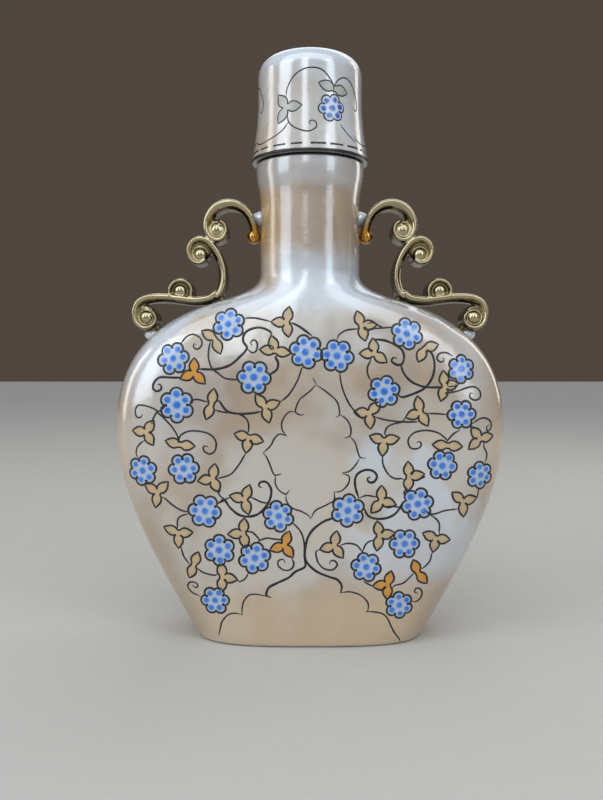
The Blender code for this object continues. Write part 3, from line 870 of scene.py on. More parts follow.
STEMS = (
    ((-20.7, 107.8), (-17.7, 107.8), (-14.1, 107.0)),
    ((-41.6, 100.1), (-39.9, 102.0), (-37.7, 102.6), (-35.4, 101.2), (-35.0, 99.2), (-36.3, 97.8),
     (-37.6, 98.4), (-37.6, 99.5), (-36.7, 99.3)),
    ((-32.2, 100.4), (-32.7, 97.6), (-32.7, 94.8), (-31.6, 91.7), (-29.6, 90.1), (-27.1, 88.4),
     (-22.7, 88.0)),
    ((-20.4, 98.1), (-18.8, 96.7), (-17.3, 97.4), (-17.1, 99.8), (-18.2, 100.8), (-19.2, 99.8),
     (-18.7, 99.0)),
    ((-2.7, 92.0), (-3.8, 88.7), (-5.2, 85.9), (-7.1, 83.1), (-9.3, 81.2)),
    ((-38.8, 80.9), (-36.6, 81.7), (-33.2, 80.9)),
    ((-29.9, 78.1), (-27.7, 77.6), (-23.8, 77.3), (-21.0, 75.9), (-19.9, 73.9), (-20.0, 71.2)),
    ((-47.1, 79.2), (-49.1, 77.8), (-51.0, 78.7), (-53.8, 79.5), (-56.3, 79.5), (-57.2, 77.8),
     (-56.8, 75.9), (-55.4, 75.6), (-54.6, 76.7)),
    ((-49.6, 77.6), (-51.0, 75.3), (-51.4, 73.7)),
    ((-49.6, 77.6), (-47.1, 75.3), (-44.6, 72.6), (-42.9, 69.8), (-42.7, 67.6)),
    ((-54.9, 67.6), (-56.6, 65.9), (-57.1, 63.7)),
    ((-42.4, 67.6), (-42.1, 69.8), (-39.3, 71.4), (-35.4, 71.4), (-32.1, 70.3), (-30.4, 68.1),
     (-30.7, 65.3), (-32.4, 64.1), (-34.3, 65.1), (-34.3, 66.7), (-32.9, 66.4)),
    ((-21.6, 63.1), (-22.9, 60.9), (-25.4, 57.8), (-28.2, 56.6), (-30.4, 56.2)),
    ((-29.9, 52.5), (-29.3, 50.6), (-27.9, 49.2)),
    ((-30.4, 47.8), (-27.9, 49.2), (-26.0, 50.0)),
    ((-18.8, 50.0), (-16.0, 48.6), (-13.5, 48.1)),
    ((-47.7, 49.4), (-45.4, 47.5), (-42.7, 45.8), (-39.9, 45.0)),
    ((-39.6, 44.4), (-42.1, 43.6), (-43.3, 42.2), (-43.5, 39.4)),
    ((-42.4, 33.1), (-41.6, 30.0), (-39.6, 27.2)),
    ((-21.3, 38.9), (-18.8, 38.6), (-17.1, 36.9), (-16.6, 36.1)),
    ((-16.6, 35.8), (-14.3, 36.7), (-11.6, 36.4), (-8.8, 36.1)),
    ((-5.7, 41.7), (-3.2, 38.9), (-2.1, 35.6), (-2.1, 32.8)),
    ((-6.3, 30.6), (-5.4, 28.3), (-6.3, 26.4), (-8.5, 26.1), (-10.4, 27.5), (-10.4, 29.2),
     (-8.8, 29.7), (-8.3, 28.6)),
    ((-37.1, 26.1), (-34.9, 24.7), (-31.0, 24.0)),
    ((-23.2, 22.1), (-21.3, 23.1), (-20.2, 25.0)),
    ((-36.3, 16.4), (-39.3, 17.5), (-40.6, 19.4), (-39.9, 20.9), (-37.9, 21.1), (-37.0, 20.0),
     (-37.9, 19.2), (-38.9, 20.1)),
    ((8.5, 100.9), (9.3, 102.6), (11.6, 103.9), (14.9, 104.3)),
    ((18.2, 104.2), (21.6, 104.5), (26.0, 104.8)),
    ((18.2, 105.9), (19.9, 106.3), (22.1, 105.3), (23.2, 104.7)),
    ((19.3, 94.5), (18.2, 92.0), (18.3, 89.8), (19.1, 88.1)),
    ((46.0, 95.6), (43.8, 96.7), (41.6, 96.4), (40.7, 94.8), (41.8, 93.7), (43.1, 94.2), (42.7, 95.2)),
    ((43.2, 83.7), (47.1, 84.2), (50.4, 85.3), (53.2, 85.6), (55.2, 84.2), (55.2, 82.0), (53.2, 81.3),
     (51.7, 82.3), (51.8, 83.6), (52.7, 83.4)),
    ((44.3, 85.9), (46.6, 85.9), (47.1, 87.0)),
    ((9.3, 90.1), (9.9, 86.4), (11.0, 83.1), (12.7, 79.8), (14.6, 77.6), (16.8, 75.3)),
    ((20.4, 76.2), (23.8, 75.2), (27.1, 74.7), (29.3, 74.5), (34.3, 74.5)),
    ((29.3, 74.5), (26.8, 73.9), (24.6, 72.8), (23.8, 70.6)),
    ((37.1, 77.1), (40.4, 77.1), (44.3, 76.7)),
    ((48.2, 71.7), (46.0, 70.3), (44.3, 68.4)),
    ((44.1, 68.4), (42.1, 70.3), (39.9, 71.3), (36.6, 71.7), (33.2, 70.9), (31.4, 68.7), (32.1, 66.2),
     (34.1, 65.8), (35.6, 66.7), (35.2, 68.1), (34.1, 67.8)),
    ((52.7, 73.7), (54.9, 75.1), (57.1, 75.4), (59.1, 74.2), (59.3, 72.3), (58.2, 71.0), (57.6, 72.3),
     (58.5, 73.1)),
    ((52.1, 73.7), (52.7, 72.0)),
    ((56.8, 65.9), (57.9, 63.7), (57.7, 61.4)),
    ((23.2, 63.7), (23.3, 60.9), (24.9, 57.8), (27.1, 56.2), (29.6, 56.1)),
    ((34.9, 55.8), (37.1, 56.7)),
    ((31.3, 52.8), (30.2, 51.7), (30.6, 50.0)),
    ((16.0, 50.0), (18.2, 50.7), (21.6, 50.1)),
    ((23.2, 46.9), (26.0, 47.1), (28.8, 46.8)),
    ((37.1, 45.6), (39.9, 44.3), (43.8, 45.3), (48.5, 45.7)),
    ((37.9, 44.7), (40.4, 43.1), (42.0, 41.1), (42.1, 37.8)),
    ((55.4, 52.2), (55.2, 50.0), (54.3, 48.3)),
    ((39.9, 31.4), (39.1, 28.3), (36.8, 26.1)),
    ((32.9, 23.6), (30.4, 21.4), (27.7, 20.7)),
    ((20.4, 36.1), (18.2, 35.0), (17.0, 32.5)),
    ((9.9, 34.4), (12.1, 35.0), (14.9, 34.4), (16.8, 32.2)),
    ((1.8, 32.2), (2.4, 28.9), (4.3, 26.7), (7.1, 26.2), (8.7, 27.8), (7.9, 29.2), (6.6, 29.2),
     (6.2, 28.1)),
    ((17.4, 22.2), (18.8, 21.4), (21.0, 20.3)),
    ((33.2, 15.0), (35.2, 14.7), (36.8, 16.4), (36.6, 18.6), (34.9, 19.4), (34.3, 18.1), (35.4, 17.5)),
)
SCALLOPS = (
    # the frame round the bare middle, then the top of the bare foot; each scallop ends in a tick
    ((0.7, 88.7), (1.8, 86.7)),
    ((1.6, 86.4), (-0.1, 84.5), (-2.9, 82.3), (-3.8, 81.2), (-4.9, 78.0), (-3.6, 76.8), (-2.0, 76.9)),
    ((-4.9, 77.8), (-7.1, 77.6), (-9.1, 74.8), (-9.1, 72.0), (-7.7, 70.0)),
    ((-7.7, 70.0), (-9.9, 70.6), (-11.6, 69.2), (-12.7, 67.0), (-15.2, 64.5)),
    ((-15.2, 64.5), (-14.1, 63.1), (-12.9, 60.3), (-12.1, 58.1), (-11.3, 57.3), (-9.3, 57.8)),
    ((-11.3, 57.2), (-11.3, 54.4), (-9.9, 52.2), (-7.9, 51.2), (-6.8, 52.5)),
    ((-7.9, 51.1), (-7.7, 48.9), (-6.0, 46.7), (-2.7, 45.4), (-0.7, 44.2), (0.1, 43.1)),
    ((1.8, 86.4), (5.4, 83.9), (8.5, 80.9), (9.3, 77.0), (8.1, 75.9)),
    ((9.3, 76.9), (11.6, 75.3), (12.9, 72.6), (12.7, 70.1), (10.9, 69.3)),
    ((12.7, 69.8), (14.3, 67.8), (15.2, 64.8), (16.0, 63.1), (17.7, 62.8)),
    ((15.7, 62.8), (14.9, 61.2), (12.7, 58.7), (10.3, 58.1)),
    ((10.3, 57.9), (12.4, 56.9), (12.1, 54.4), (9.9, 52.2), (7.4, 51.8)),
    ((7.6, 51.8), (7.6, 49.2), (4.9, 47.5), (1.6, 45.8), (0.2, 43.3)),
    ((9.9, 18.6), (13.2, 18.8), (16.6, 17.5), (18.8, 15.0), (18.8, 12.5), (18.1, 11.8)),
    ((18.2, 12.1), (21.0, 11.9), (23.8, 11.1), (25.4, 9.4), (26.6, 6.7), (27.9, 4.2), (29.3, 2.2),
     (30.0, 0.8)),
    ((-14.6, 17.3), (-17.1, 17.9), (-19.9, 17.7), (-21.7, 15.6), (-22.4, 12.8), (-22.3, 10.8)),
    ((-22.4, 11.0), (-24.9, 11.3), (-27.1, 10.6), (-29.1, 8.1), (-29.9, 5.0), (-30.4, 2.8)),
)
# The spray on the cup: millimetres round from its middle, and up from the rim. It goes round three times.
SPRAYS = 3
CUP_FLOWER = (7.0, 14.5, 9.2)
CUP_DASHES = 19  # the thin band above the rim of the cup is broken into these
DASH_POINTS = (0, 0.12, 0.5, 0.88, 1)  # along one dash
CUP_LEAVES = ((-8.0, 14.8, 125, 3, -118), (7.9, 20.8, 165, -8))
CUP_STEMS = (
    ((-8.2, 18.0), (-7.9, 20.5), (-6.4, 23.4), (-4.4, 25.4), (-1.5, 26.7), (1.5, 26.9), (4.1, 26.1),
     (6.1, 24.2), (7.6, 21.9), (7.7, 19.2)),
    ((7.7, 21.1), (9.5, 23.8), (12.0, 24.9), (14.3, 24.3), (16.1, 22.5), (18.0, 19.4), (18.4, 16.6),
     (17.3, 15.3), (16.3, 16.2)),
    ((-7.6, 12.8), (-7.0, 10.0), (-5.0, 8.0), (-2.0, 6.7), (0.0, 6.7), (1.8, 8.0), (1.5, 9.7),
     (0.3, 10.1), (-0.4, 9.4), (0.1, 8.7)),
    ((-7.1, 9.8), (-9.1, 7.3), (-12.8, 5.5), (-17.7, 4.6), (-20.7, 5.4), (-22.0, 6.4)),
    ((9.7, 9.4), (12.0, 7.0), (15.5, 4.6)),
)

SINK = -0.05  # millimetres: how far the underside of the enamel goes into the glaze


def stroke(points, width, height, curved=True):
    """A domed line of enamel through flat points, thinner towards its ends."""
    path = smooth_path(points, 0.55) if curved else [Vector(p) for p in points]
    reach = [0.0]
    for here, there in zip(path, path[1:]):
        reach.append(reach[-1] + (there - here).length)
    rings = []
    for number, here in enumerate(path):
        before, after = path[max(number - 1, 0)], path[min(number + 1, len(path) - 1)]
        along = (after - before).normalized()
        across = Vector((-along.y, along.x))
        wide = width * (1 + 0.22 * noise.noise(Vector((0.45 * here.x, 0.45 * here.y, 0))))
        if curved:
            wide *= 0.45 + 0.55 * step(min(reach[number], reach[-1] - reach[number]), 0.0, 2.2)
        rings.append([
            Vector((*(here + u * wide * across), v * height if v > 0 else SINK))
            for u, v in ((-0.5, 0), (-0.34, 0.75), (0, 1), (0.34, 0.75), (0.5, 0))
        ])
    return loft(rings)


def patch(outline, middle, height, levels):
    """A thin pool of enamel inside an outline. levels are (share of the way out, share of the height)."""
    middle = Vector(middle)
    rings = [[Vector((*point, SINK)) for point in outline]]
    shares = [1.0]
    for share, lift in levels:
        rings.append([Vector((*(middle + share * (point - middle)), lift * height)) for point in outline])
        shares.append(share)
    return loft(rings, shares)


def round_outline(middle, radius, count, turn=0.0):
    """Points round a circle."""
    middle = Vector(middle)
    angles = [turn + 2 * math.pi * i / count for i in range(count)]
    return [middle + radius * Vector((math.cos(a), math.sin(a))) for a in angles]


def petal_outline(middle, radius, turn, count=8):
    """Six round petals, from one notch all the way round."""
    middle, points = Vector(middle), []
    for i in range(6 * count):
        petal = (i % count) / count * math.pi / 3 - math.pi / 6
        reach = 0.60 * math.cos(petal) + math.sqrt(0.385**2 - (0.60 * math.sin(petal)) ** 2)
        reach *= radius * (1 + 0.05 * noise.noise(Vector((middle.x, middle.y, i // count))))
        angle = turn + (i // count) * math.pi / 3 + petal
        points.append(middle + reach * Vector((math.cos(angle), math.sin(angle))))
    return points


def leaf_outline(middle, lobes, length):
    """Pointed lobes joined round one middle."""
    middle, points = Vector(middle), []
    half = ((0.12, 0.55), (0.26, 0.88), (0.45, 1.0), (0.66, 0.82), (0.85, 0.40), (1.0, 0.0))
    half += tuple((t, -w) for t, w in reversed(half[:-1]))
    for number, lobe in enumerate(sorted(lobe % 360 for lobe in lobes)):
        along = Vector((math.cos(math.radians(lobe)), math.sin(math.radians(lobe))))
        across = Vector((along.y, -along.x))
        long = length * (1 + 0.14 * noise.noise(Vector((0.7 * middle.x, 0.7 * middle.y, number))))
        points += [middle + t * long * along + 0.32 * w * length * across for t, w in half]
    return points


def draw_flower(drawing, s, middle, width, turn, line, petal="petal", dot="dot"):
    """Petals, their outline with a dab in each notch, and a blue dot on each petal and in the middle."""
    radius = width / 2
    outline = petal_outline(middle, radius, turn)
    levels = ((1.0, 0.7), (0.9, 1.0), (0.75, 1.0), (0.6, 1.0), (0.45, 1.0), (0.3, 1.0))
    drawing[petal].append(patch(outline, middle, 0.05, levels))
    drawing["ink"].append(stroke([*outline, outline[0]], line, s.line_height / MM, curved=False))
    for i in range(6):
        notch = Vector(middle) + 0.95 * (outline[8 * i] - Vector(middle))
        inside = Vector(middle) + (0.72 + 0.1 * (i % 3)) * (outline[8 * i] - Vector(middle))
        drawing["ink"].append(stroke([notch, inside], 1.5 * line, 1.1 * s.line_height / MM, curved=False))
    spots = [(Vector(middle), 1.15)]
    spots += [(spot, 1.0) for spot in round_outline(middle, 0.61 * radius, 6, turn)]
    for number, (spot, size) in enumerate(spots):
        shift = Vector((noise.noise(Vector((*spot, 1))), noise.noise(Vector((*spot, 5)))))
        size *= 1.62 * s.dot_radius / MM * radius / 5.3 * (1 + 0.2 * noise.noise(Vector((*spot, 9))))
        rim = round_outline(spot + 0.35 * shift, size, 14)
        levels = ((1.0, 0.42), (0.72, 0.86), (0.36, 1.0))
        drawing[dot].append(patch(rim, spot + 0.35 * shift, 0.1, levels))


def draw_leaf(drawing, s, leaf, line, length, kind):
    """A leaf with one pointed lobe for each direction, and its outline."""
    middle, lobes = leaf[:2], leaf[2:]
    outline = leaf_outline(middle, lobes, length)
    levels = ((1.0, 0.7), (0.82, 1.0), (0.62, 1.0), (0.42, 1.0), (0.22, 1.0))
    drawing[kind].append(patch(outline, middle, 0.05, levels))
    drawing["ink"].append(stroke([*outline, outline[0]], line, s.line_height / MM, curved=False))


def reach_out(stem, outlines):
    """The stem with its ends led on to the nearest leaf or flower, except where it ends in a curl."""
    points = [Vector(p) for p in stem]
    for _ in range(2):
        points.reverse()
        tail = points[:5]
        way = sum((there - here).length for here, there in zip(tail, tail[1:]))
        if len(tail) == 5 and (tail[-1] - tail[0]).length < 0.62 * way:
            continue
        nearest = min(outlines, key=lambda point: (point - points[0]).length)
        gap = (nearest - points[0]).length
        if 0.2 < gap < 3.4:
            points.insert(0, nearest + 0.12 * (nearest - points[0]))
    return points


def blank_drawing():
    """A drawing holds its shapes by kind of enamel."""
    kinds = ("ink", "petal", "dot", "pale_petal", "deep_dot", "leaf", "ripe_leaf", "faint_leaf")
    return {kind: [] for kind in kinds}


def draw_vine(s):
    """The whole pattern of one face of the flask."""
    drawing, line, height = blank_drawing(), s.line_width / MM, s.line_height / MM
    for number, (x, z, width) in enumerate(FLOWERS):
        draw_flower(drawing, s, (x, z), width * s.flower_radius / (5.3 * MM), 0.37 + 0.83 * number, line)
    for kind, leaves in (("leaf", LEAVES), ("ripe_leaf", RIPE_LEAVES)):
        for leaf in leaves:
            draw_leaf(drawing, s, leaf, 0.95 * line, s.leaf_length / MM, kind)
    outlines = []
    for x, z, *lobes in (*LEAVES, *RIPE_LEAVES):
        outlines += leaf_outline((x, z), lobes, s.leaf_length / MM)
    outlines += [point for x, z, width in FLOWERS for point in round_outline((x, z), 0.48 * width, 36)]
    for stems, share in ((THICK_STEMS, 1.1), (STEMS, 0.8)):
        drawing["ink"] += [stroke(reach_out(stem, outlines), share * line, height) for stem in stems]
    drawing["ink"] += [stroke(scallop, 0.72 * line, height) for scallop in SCALLOPS]
    return drawing


def draw_sprays(s):
    """The sprays and the bands of the cup."""
    drawing, line, height = blank_drawing(), 0.64 * s.line_width / MM, 0.7 * s.line_height / MM
    middle = cup_radius(s, (CUP_LOW.z + CUP_HIGH.z) / 2) / MM
    around, rim = 2 * math.pi * middle, CUP_LOW.z / MM
    for spray in range(SPRAYS):
        shift = Vector((spray * around / SPRAYS, rim))
        x, v, width = CUP_FLOWER
        draw_flower(drawing, s, Vector((x, v)) + shift, width, 0.15, 1.1 * line, "pale_petal", "deep_dot")
        for x, v, *lobes in CUP_LEAVES:
            draw_leaf(drawing, s, (x + shift.x, v + shift.y, *lobes), line, 5.4, "faint_leaf")
        for stem in CUP_STEMS:
            drawing["ink"].append(stroke([Vector(p) + shift for p in stem], line, height))
    band = [(u * around / 96, rim + 0.68) for u in range(97)]
    drawing["ink"].append(stroke(band, 1.24, height, curved=False))
    for dash in range(CUP_DASHES):
        start = dash * around / CUP_DASHES
        worn = 0.78 + 0.4 * noise.noise(Vector((1.7 * dash, 0.4, 0.2)))
        ends = [(start + k * worn * around / CUP_DASHES, rim + 2.7 + 0.05 * k) for k in DASH_POINTS]
        drawing["ink"].append(stroke(ends, 0.5 + 0.5 * worn, 0.5 * height, curved=False))
    return drawing


def lay(drawing, at, word, body, node, colours):
    """Lays a flat drawing over a surface, with one object for each enamel."""
    makers = enamels(colours)
    for kind, parts in drawing.items():
        if not parts:
            continue
        bm = joined([part.copy() for part in parts])
        for vert in bm.verts:
            vert.co = at(vert.co.x * MM, vert.co.y * MM, vert.co.z * MM)
        bmesh.ops.recalc_face_normals(bm, faces=bm.faces)
        enamel = piece(f"{word}_{kind}", bm, makers[kind](), 60)
        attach(enamel, body)
        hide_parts(node)


class FLASK_OT_vine(bpy.types.Operator):
    """Paint the vine on the front and the back of the flask"""

    bl_idname = "flask.vine"
    bl_label = "Vine"

    def execute(self, context):
        s, c = context.scene.flask_sizes, context.scene.flask_colours
        shape, drawing = Flask(s), draw_vine(s)
        for side, word in ((-1, "front"), (1, "back")):
            lay(drawing, shape.face(side), word, "bottle", "bottle_body", c)
        return {"FINISHED"}


class FLASK_OT_sprays(bpy.types.Operator):
    """Paint the sprays and the bands on the cup"""

    bl_idname = "flask.sprays"
    bl_label = "Cup sprays"

    def execute(self, context):
        s, c = context.scene.flask_sizes, context.scene.flask_colours
        lay(draw_sprays(s), cup_surface(s), "cup", "cup", "cup_lid", c)
        return {"FINISHED"}


# --- The handles ----------------------------------------------------------------------------------

# Right handle, in millimetres: out from the middle of the flask, and up from the table. Each bar ends in a
# curl round a ball.
DRAWN_FROM, DRAWN_TO = 103.7, 151.7
HOOK = (
    (18.9, 137.6), (19.2, 140.2), (20.0, 142.9), (21.7, 145.6), (24.4, 147.6), (27.9, 148.3),
    (31.3, 147.2), (33.8, 144.6), (34.9, 141.4), (34.6, 138.7), (33.3, 136.9), (31.4, 136.3),
    (29.6, 137.2), (28.8, 139.1), (29.3, 141.1), (30.7, 142.2),
)
RISER = (
    (32.6, 116.4), (30.9, 118.2), (29.8, 122.0), (29.9, 126.0), (31.0, 129.6), (32.6, 132.6),
    (34.8, 135.1), (37.6, 136.0), (39.9, 134.9), (41.0, 132.6), (40.6, 130.2), (39.2, 128.6),
    (37.2, 128.3), (35.6, 129.4),
)
ARM = (
    (31.6, 117.4), (33.6, 115.8), (36.6, 115.0), (40.2, 114.8), (44.4, 115.3), (48.5, 115.8),
    (52.2, 115.9), (55.6, 115.5), (58.1, 114.3), (59.3, 112.2), (59.6, 109.7), (58.8, 107.4),
    (57.1, 106.0), (55.0, 106.0), (53.3, 107.3), (52.9, 109.3), (54.0, 111.0),
)
KNOB = (
    (40.9, 116.4), (40.6, 118.8), (41.8, 120.9), (44.0, 121.7), (46.3, 120.9), (47.6, 118.8),
    (47.2, 116.6), (45.6, 115.4),
)
BARS = (
    # path, its width at the start, in the middle and at the end, and its depth at the start
    (HOOK, (2.6, 3.5, 1.7), 0.42), (RISER, (2.7, 2.8, 1.7), 1.0), (ARM, (2.8, 3.0, 1.7), 1.0),
    (KNOB, (1.9, 1.8, 1.5), 1.0),
)
WEBS = (((31.6, 139.7), 3.2), ((37.5, 132.0), 3.6), ((56.3, 109.8), 3.5), ((44.2, 118.4), 3.6))
BALLS = (
    # middle, radius, and how far its front stands, as a share of the handle's depth
    ((31.6, 139.3), 2.8, 0.92), ((37.3, 130.8), 2.5, 0.97), ((55.9, 109.0), 2.5, 0.97),
    ((44.3, 118.3), 2.7, 0.9), ((19.3, 137.4), 2.35, 0.5),
)
FEET = (((32.0, 115.0), 2.6), ((54.0, 104.9), 2.6))
# The parts of a handle are cast into one skin of this grain, which is then softened this many times.
CAST_GRAIN, CAST_SOFTENINGS = 0.22 * MM, 20


def handle_place(x, z):
    """A point of the right handle, with its height fitted to the frame's handle."""
    share = (z - DRAWN_FROM) / (DRAWN_TO - DRAWN_FROM)
    return Vector((x * MM, HANDLE_LOW.z + share * (HANDLE_HIGH.z - HANDLE_LOW.z)))


def scroll_bar(points, side, widths, tip, deep):
    """A bar that is thickest near the outside of its curve. At its start it is only tip times as deep."""
    path = smooth_path([handle_place(*p) for p in points], 0.45 * MM)
    half = ((0.55, 0.34), (0.57, 0.62), (0.50, 0.84), (0.36, 0.96), (0.18, 1.0), (0.0, 0.96), (-0.18, 0.87))
    half += ((-0.34, 0.76), (-0.46, 0.64), (-0.52, 0.40))
    section = [*half, *((u, -v) for u, v in reversed(half))]
    rings = []
    for number, here in enumerate(path):
        before, after = path[max(number - 1, 0)], path[min(number + 1, len(path) - 1)]
        along = (after - before).normalized()
        out = Vector((-along.y, along.x))
        share = number / (len(path) - 1)
        width = float(np.interp(share, (0, 0.5, 1), widths)) * MM
        reach = deep * float(np.interp(share, (0, 0.07, 0.16), (tip, 0.5 + 0.5 * tip, 1)))
        spots = [(here + u * width * out, v * reach) for u, v in section]
        rings.append([Vector((side * spot.x, depth, spot.y)) for spot, depth in spots])
    return loft(rings)


def disc(middle, radius, side, deep):
    """A round web with softened edges, turned about a line from front to back."""
    corners = [(0, -deep), (radius * MM, -deep), (radius * MM, deep), (0, deep)]
    profile = rounded(corners, (0.8 * MM, 0.8 * MM))
    bm = turned([tuple(p) for p in profile], 40)
    place = handle_place(*middle)
    bmesh.ops.rotate(bm, verts=bm.verts, cent=(0, 0, 0), matrix=Matrix.Rotation(math.radians(90), 3, "X"))
    bmesh.ops.translate(bm, verts=bm.verts, vec=(side * place.x, 0, place.y))
    return bm


def ball(middle, radius, side, depth):
    """A ball in the eye of a scroll, this far to the back."""
    bm = bmesh.new()
    bmesh.ops.create_uvsphere(bm, u_segments=28, v_segments=18, radius=radius * MM)
    place = handle_place(*middle)
    bmesh.ops.translate(bm, verts=bm.verts, vec=(side * place.x, depth, place.y))
    return bm


def distance(p, tip):
    """How far a point of either handle is from a point of the right one, seen from the front."""
    return (Vector((abs(p.x), p.z)) - tip).length


def joined(parts):
    """One bmesh from many, which are used up."""
    whole = bmesh.new()
    for part in parts:
        mesh = bpy.data.meshes.new("part")
        part.to_mesh(mesh)
        part.free()
        whole.from_mesh(mesh)
        bpy.data.meshes.remove(mesh)
    return whole


def patina_and_shade_share(deep, p, n):
    """How dark the gilding is: old gold in the webs, and painted shade on the flanks of the bars and under
    them, lighter where they face up.
    """
    web = 1 - step(abs(p.y), 0.60 * deep, 0.84 * deep)
    flank = 0.95 * (1 - step(abs(n.y), 0.3, 0.9)) - 0.8 * max(0, n.z) + 0.35 * max(0, -n.z)
    return min(1, max(0.9 * web - 0.3 * max(0, n.z), flank, 0))


class FLASK_OT_handles(bpy.types.Operator):
    """Build the two gilt scroll handles"""

    bl_idname = "flask.handles"
    bl_label = "Handles"

    def execute(self, context):
        s, c = context.scene.flask_sizes, context.scene.flask_colours
        deep = HANDLE_HIGH.y
        for side, word in ((-1, "left"), (1, "right")):
            parts = [scroll_bar(path, side, widths, tip, 0.97 * deep) for path, widths, tip in BARS]
            parts += [disc(middle, radius, side, 0.66 * deep) for middle, radius in WEBS]
            parts += [disc(middle, radius, side, 0.5 * deep) for middle, radius in FEET]
            for middle, radius, front in BALLS:
                reach = front * deep - radius * MM
                parts += [ball(middle, radius, side, face * reach) for face in (-1, 1)]
            handle = piece(f"scroll_{word}", joined(parts), gilding(c), 60)
            remesh = handle.modifiers.new("cast", "REMESH")
            remesh.mode, remesh.voxel_size, remesh.use_smooth_shade = "VOXEL", CAST_GRAIN, True
            soften = handle.modifiers.new("soften", "SMOOTH")
            soften.factor, soften.iterations = 0.5, CAST_SOFTENINGS
            graph = context.evaluated_depsgraph_get()
            mesh = bpy.data.meshes.new_from_object(handle.evaluated_get(graph), depsgraph=graph)
            handle.modifiers.clear()
            handle.data = mesh
            mesh.shade_smooth()
            # Painted shade: darker on the flanks and undersides of the bars and lighter on their tops, with
            # old gold in the webs.
            paint(handle, "hollow", lambda p, n: patina_and_shade_share(deep, p, n), True)
            tip = handle_place(*BALLS[-1][0])
            paint(handle, "ember", lambda p: 1 - step(distance(p, tip), 2.4 * MM, 4.2 * MM))
            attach(handle, "bottle")
            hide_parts(f"handle_{word}")
            self.lute(s, c, side, word)
        return {"FINISHED"}

    def lute(self, s, c, side, word):
        """The glazed stub on the neck and the slip that hold the handle."""
        neck, tip = s.neck_radius - 1.5 * MM, s.neck_radius + 2.6 * MM
        profile = rounded([(0, neck), (3.4 * MM, neck), (1.9 * MM, tip), (0, tip)], (0.5 * MM, 0.8 * MM))
        bm = turned([tuple(p) for p in profile], 32)
        turn = Matrix.Rotation(side * math.radians(90), 3, "Y")
        bmesh.ops.rotate(bm, verts=bm.verts, cent=(0, 0, 0), matrix=turn)
        height = handle_place(0, 143.6).y
        bmesh.ops.translate(bm, verts=bm.verts, vec=(0, 0, height))
        parts = [bm]
        for (x, z), radius in FEET:
            slip = bmesh.new()
            bmesh.ops.create_uvsphere(slip, u_segments=28, v_segments=18, radius=radius * MM)
            bmesh.ops.scale(slip, verts=slip.verts, vec=(1.25, 1.5, 0.8))
            place = handle_place(x, z)
            bmesh.ops.translate(slip, verts=slip.verts, vec=(side * place.x, 0, place.y - 1.6 * MM))
            parts.append(slip)
        stubs = piece(f"lute_{word}", joined(parts), lustre_glaze(c), 50)
        for name in ("peach", "amber", "biscuit", "streak", "pool"):
            paint(stubs, name, lambda p: 0)
        paint(stubs, "frost", lambda p: 1)
        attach(stubs, "bottle")
        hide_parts("bottle_body")


# --- The stage ------------------------------------------------------------------------------------


def area_light(name, place, size, power, tint):
    """A soft rectangular light that faces the middle of the flask."""
    light = bpy.data.lights.new(name, "AREA")
    light.shape, light.size, light.size_y = "RECTANGLE", *size
    light.energy, light.color = power, tint
    obj = bpy.data.objects.new(name, light)
    bpy.context.scene.collection.objects.link(obj)
    obj.location = place
    obj.rotation_euler = (Vector(LIT_POINT) - Vector(place)).to_track_quat("-Z", "Y").to_euler()


COOL, COLD, SOFT_WHITE = (0.84, 0.92, 1.0), (0.80, 0.90, 1.0), (0.90, 0.94, 1.0)
LIGHTS = (
    # name, place, width and height, power in watts, tint
    ("window_left", (-0.62, -0.40, 0.40), (0.36, 0.60), 1.5, COLD),
    ("window_right", (0.50, -0.52, 0.40), (0.22, 0.60), 0.85, COLD),
    ("strip_middle", (-0.14, -0.70, 0.50), (0.14, 0.50), 0.5, COOL),
    ("skylight", (-0.05, -0.34, 0.70), (1.1, 0.45), 1.8, COOL),
    ("rim_strip", (0.50, 0.32, 0.34), (0.14, 0.50), 0.4, (1.0, 0.95, 0.88)),
    ("back_sky", (0.15, 0.62, 0.78), (0.9, 0.5), 1.3, SOFT_WHITE),
    ("side_strip", (-0.75, 0.05, 0.30), (0.16, 0.50), 0.5, (1.0, 0.97, 0.92)),
)
LIT_POINT = (0, 0, 0.09)
# in metres, degrees below level and millimetres
CAMERA_PLACE, CAMERA_TILT, CAMERA_LENS = (-0.0029, -0.285, 0.095), 2.94, 36.9


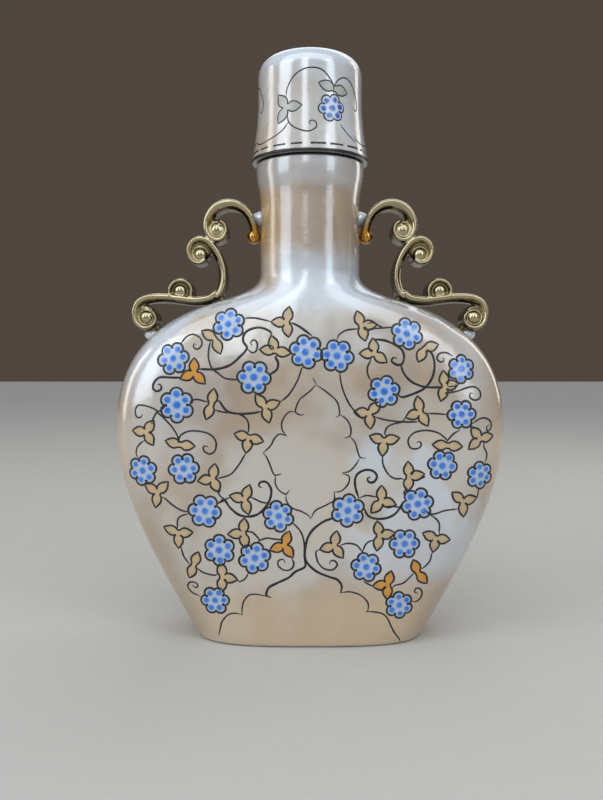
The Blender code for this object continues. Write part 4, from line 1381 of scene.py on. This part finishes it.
class FLASK_OT_stage(bpy.types.Operator):
    """Set the floor, the backdrop, the soft lights and the camera"""

    bl_idname = "flask.stage"
    bl_label = "Stage"

    def execute(self, context):
        bm = bmesh.new()
        bmesh.ops.create_grid(bm, x_segments=1, y_segments=1, size=3.0)
        floor = piece("floor", bm, studio_paper("floor_paper", 0.56))
        floor.data.transform(Matrix.Translation((0, 0, -0.0002)))
        world = bpy.data.worlds.new("studio")
        context.scene.world = world
        world.use_nodes = True
        world.node_tree.nodes.clear()
        sky = Wire(world.node_tree)
        way = sky.node("ShaderNodeTexCoord")
        up = sky.node("ShaderNodeSeparateXYZ", (), {"Vector": way}, output=2)
        back = sky.node("ShaderNodeSeparateXYZ", (), {"Vector": way}, output=1)
        lift = (up - 0.32 * back).ramp(-0.4, 1.2)
        dim, bright = (0.12, 0.095, 0.075), (0.84, 0.92, 1.0)
        stops = ((0.0, dim), (0.24, dim), (0.42, (0.34, 0.31, 0.28)), (0.62, bright), (1.0, bright))
        tint = sky.node("ShaderNodeValToRGB", {"stops": stops}, {0: lift})
        glow = sky.node("ShaderNodeBackground", (), {"Color": tint, "Strength": 0.66})
        sky.node("ShaderNodeOutputWorld", (), {"Surface": glow})
        for name, *settings in LIGHTS:
            area_light(name, *settings)
        lens = bpy.data.cameras.new("camera")
        lens.lens, lens.sensor_width = CAMERA_LENS, 36.0
        lens.clip_start, lens.clip_end = 0.02, 20.0
        camera = bpy.data.objects.new("camera", lens)
        context.scene.collection.objects.link(camera)
        camera.location = CAMERA_PLACE
        camera.rotation_euler = (math.radians(90 - CAMERA_TILT), 0, 0)
        context.scene.camera = camera
        context.scene.view_settings.view_transform = "Standard"
        return {"FINISHED"}


# --- The add-on -----------------------------------------------------------------------------------

OPERATORS = (
    FLASK_OT_stage, FLASK_OT_bottle, FLASK_OT_vine, FLASK_OT_cup, FLASK_OT_sprays, FLASK_OT_cork,
    FLASK_OT_handles,
)


class FLASK_PT_panel(bpy.types.Panel):
    """The flask's pieces, sizes and colours"""

    bl_idname = "FLASK_PT_panel"
    bl_label = "Sake Flask"
    bl_space_type = "VIEW_3D"
    bl_region_type = "UI"
    bl_category = "Flask"

    def draw(self, context):
        for operator in OPERATORS:
            self.layout.operator(operator.bl_idname)
        for group in (context.scene.flask_sizes, context.scene.flask_colours):
            for name in group.bl_rna.properties.keys():
                if name not in ("rna_type", "name"):
                    self.layout.prop(group, name)


CLASSES = (FlaskSizes, FlaskColours, *OPERATORS, FLASK_PT_panel)


def register():
    """Tells Blender of every class, and gives the scene its settings."""
    for cls in CLASSES:
        bpy.utils.register_class(cls)
    bpy.types.Scene.flask_sizes = PointerProperty(type=FlaskSizes)
    bpy.types.Scene.flask_colours = PointerProperty(type=FlaskColours)


def unregister():
    """Takes back what register did."""
    del bpy.types.Scene.flask_sizes, bpy.types.Scene.flask_colours
    for cls in reversed(CLASSES):
        bpy.utils.unregister_class(cls)


def main():
    """Builds every piece."""
    register()
    for operator in OPERATORS:
        getattr(bpy.ops.flask, operator.bl_idname.split(".")[1])()


if __name__ == "__main__":
    main()
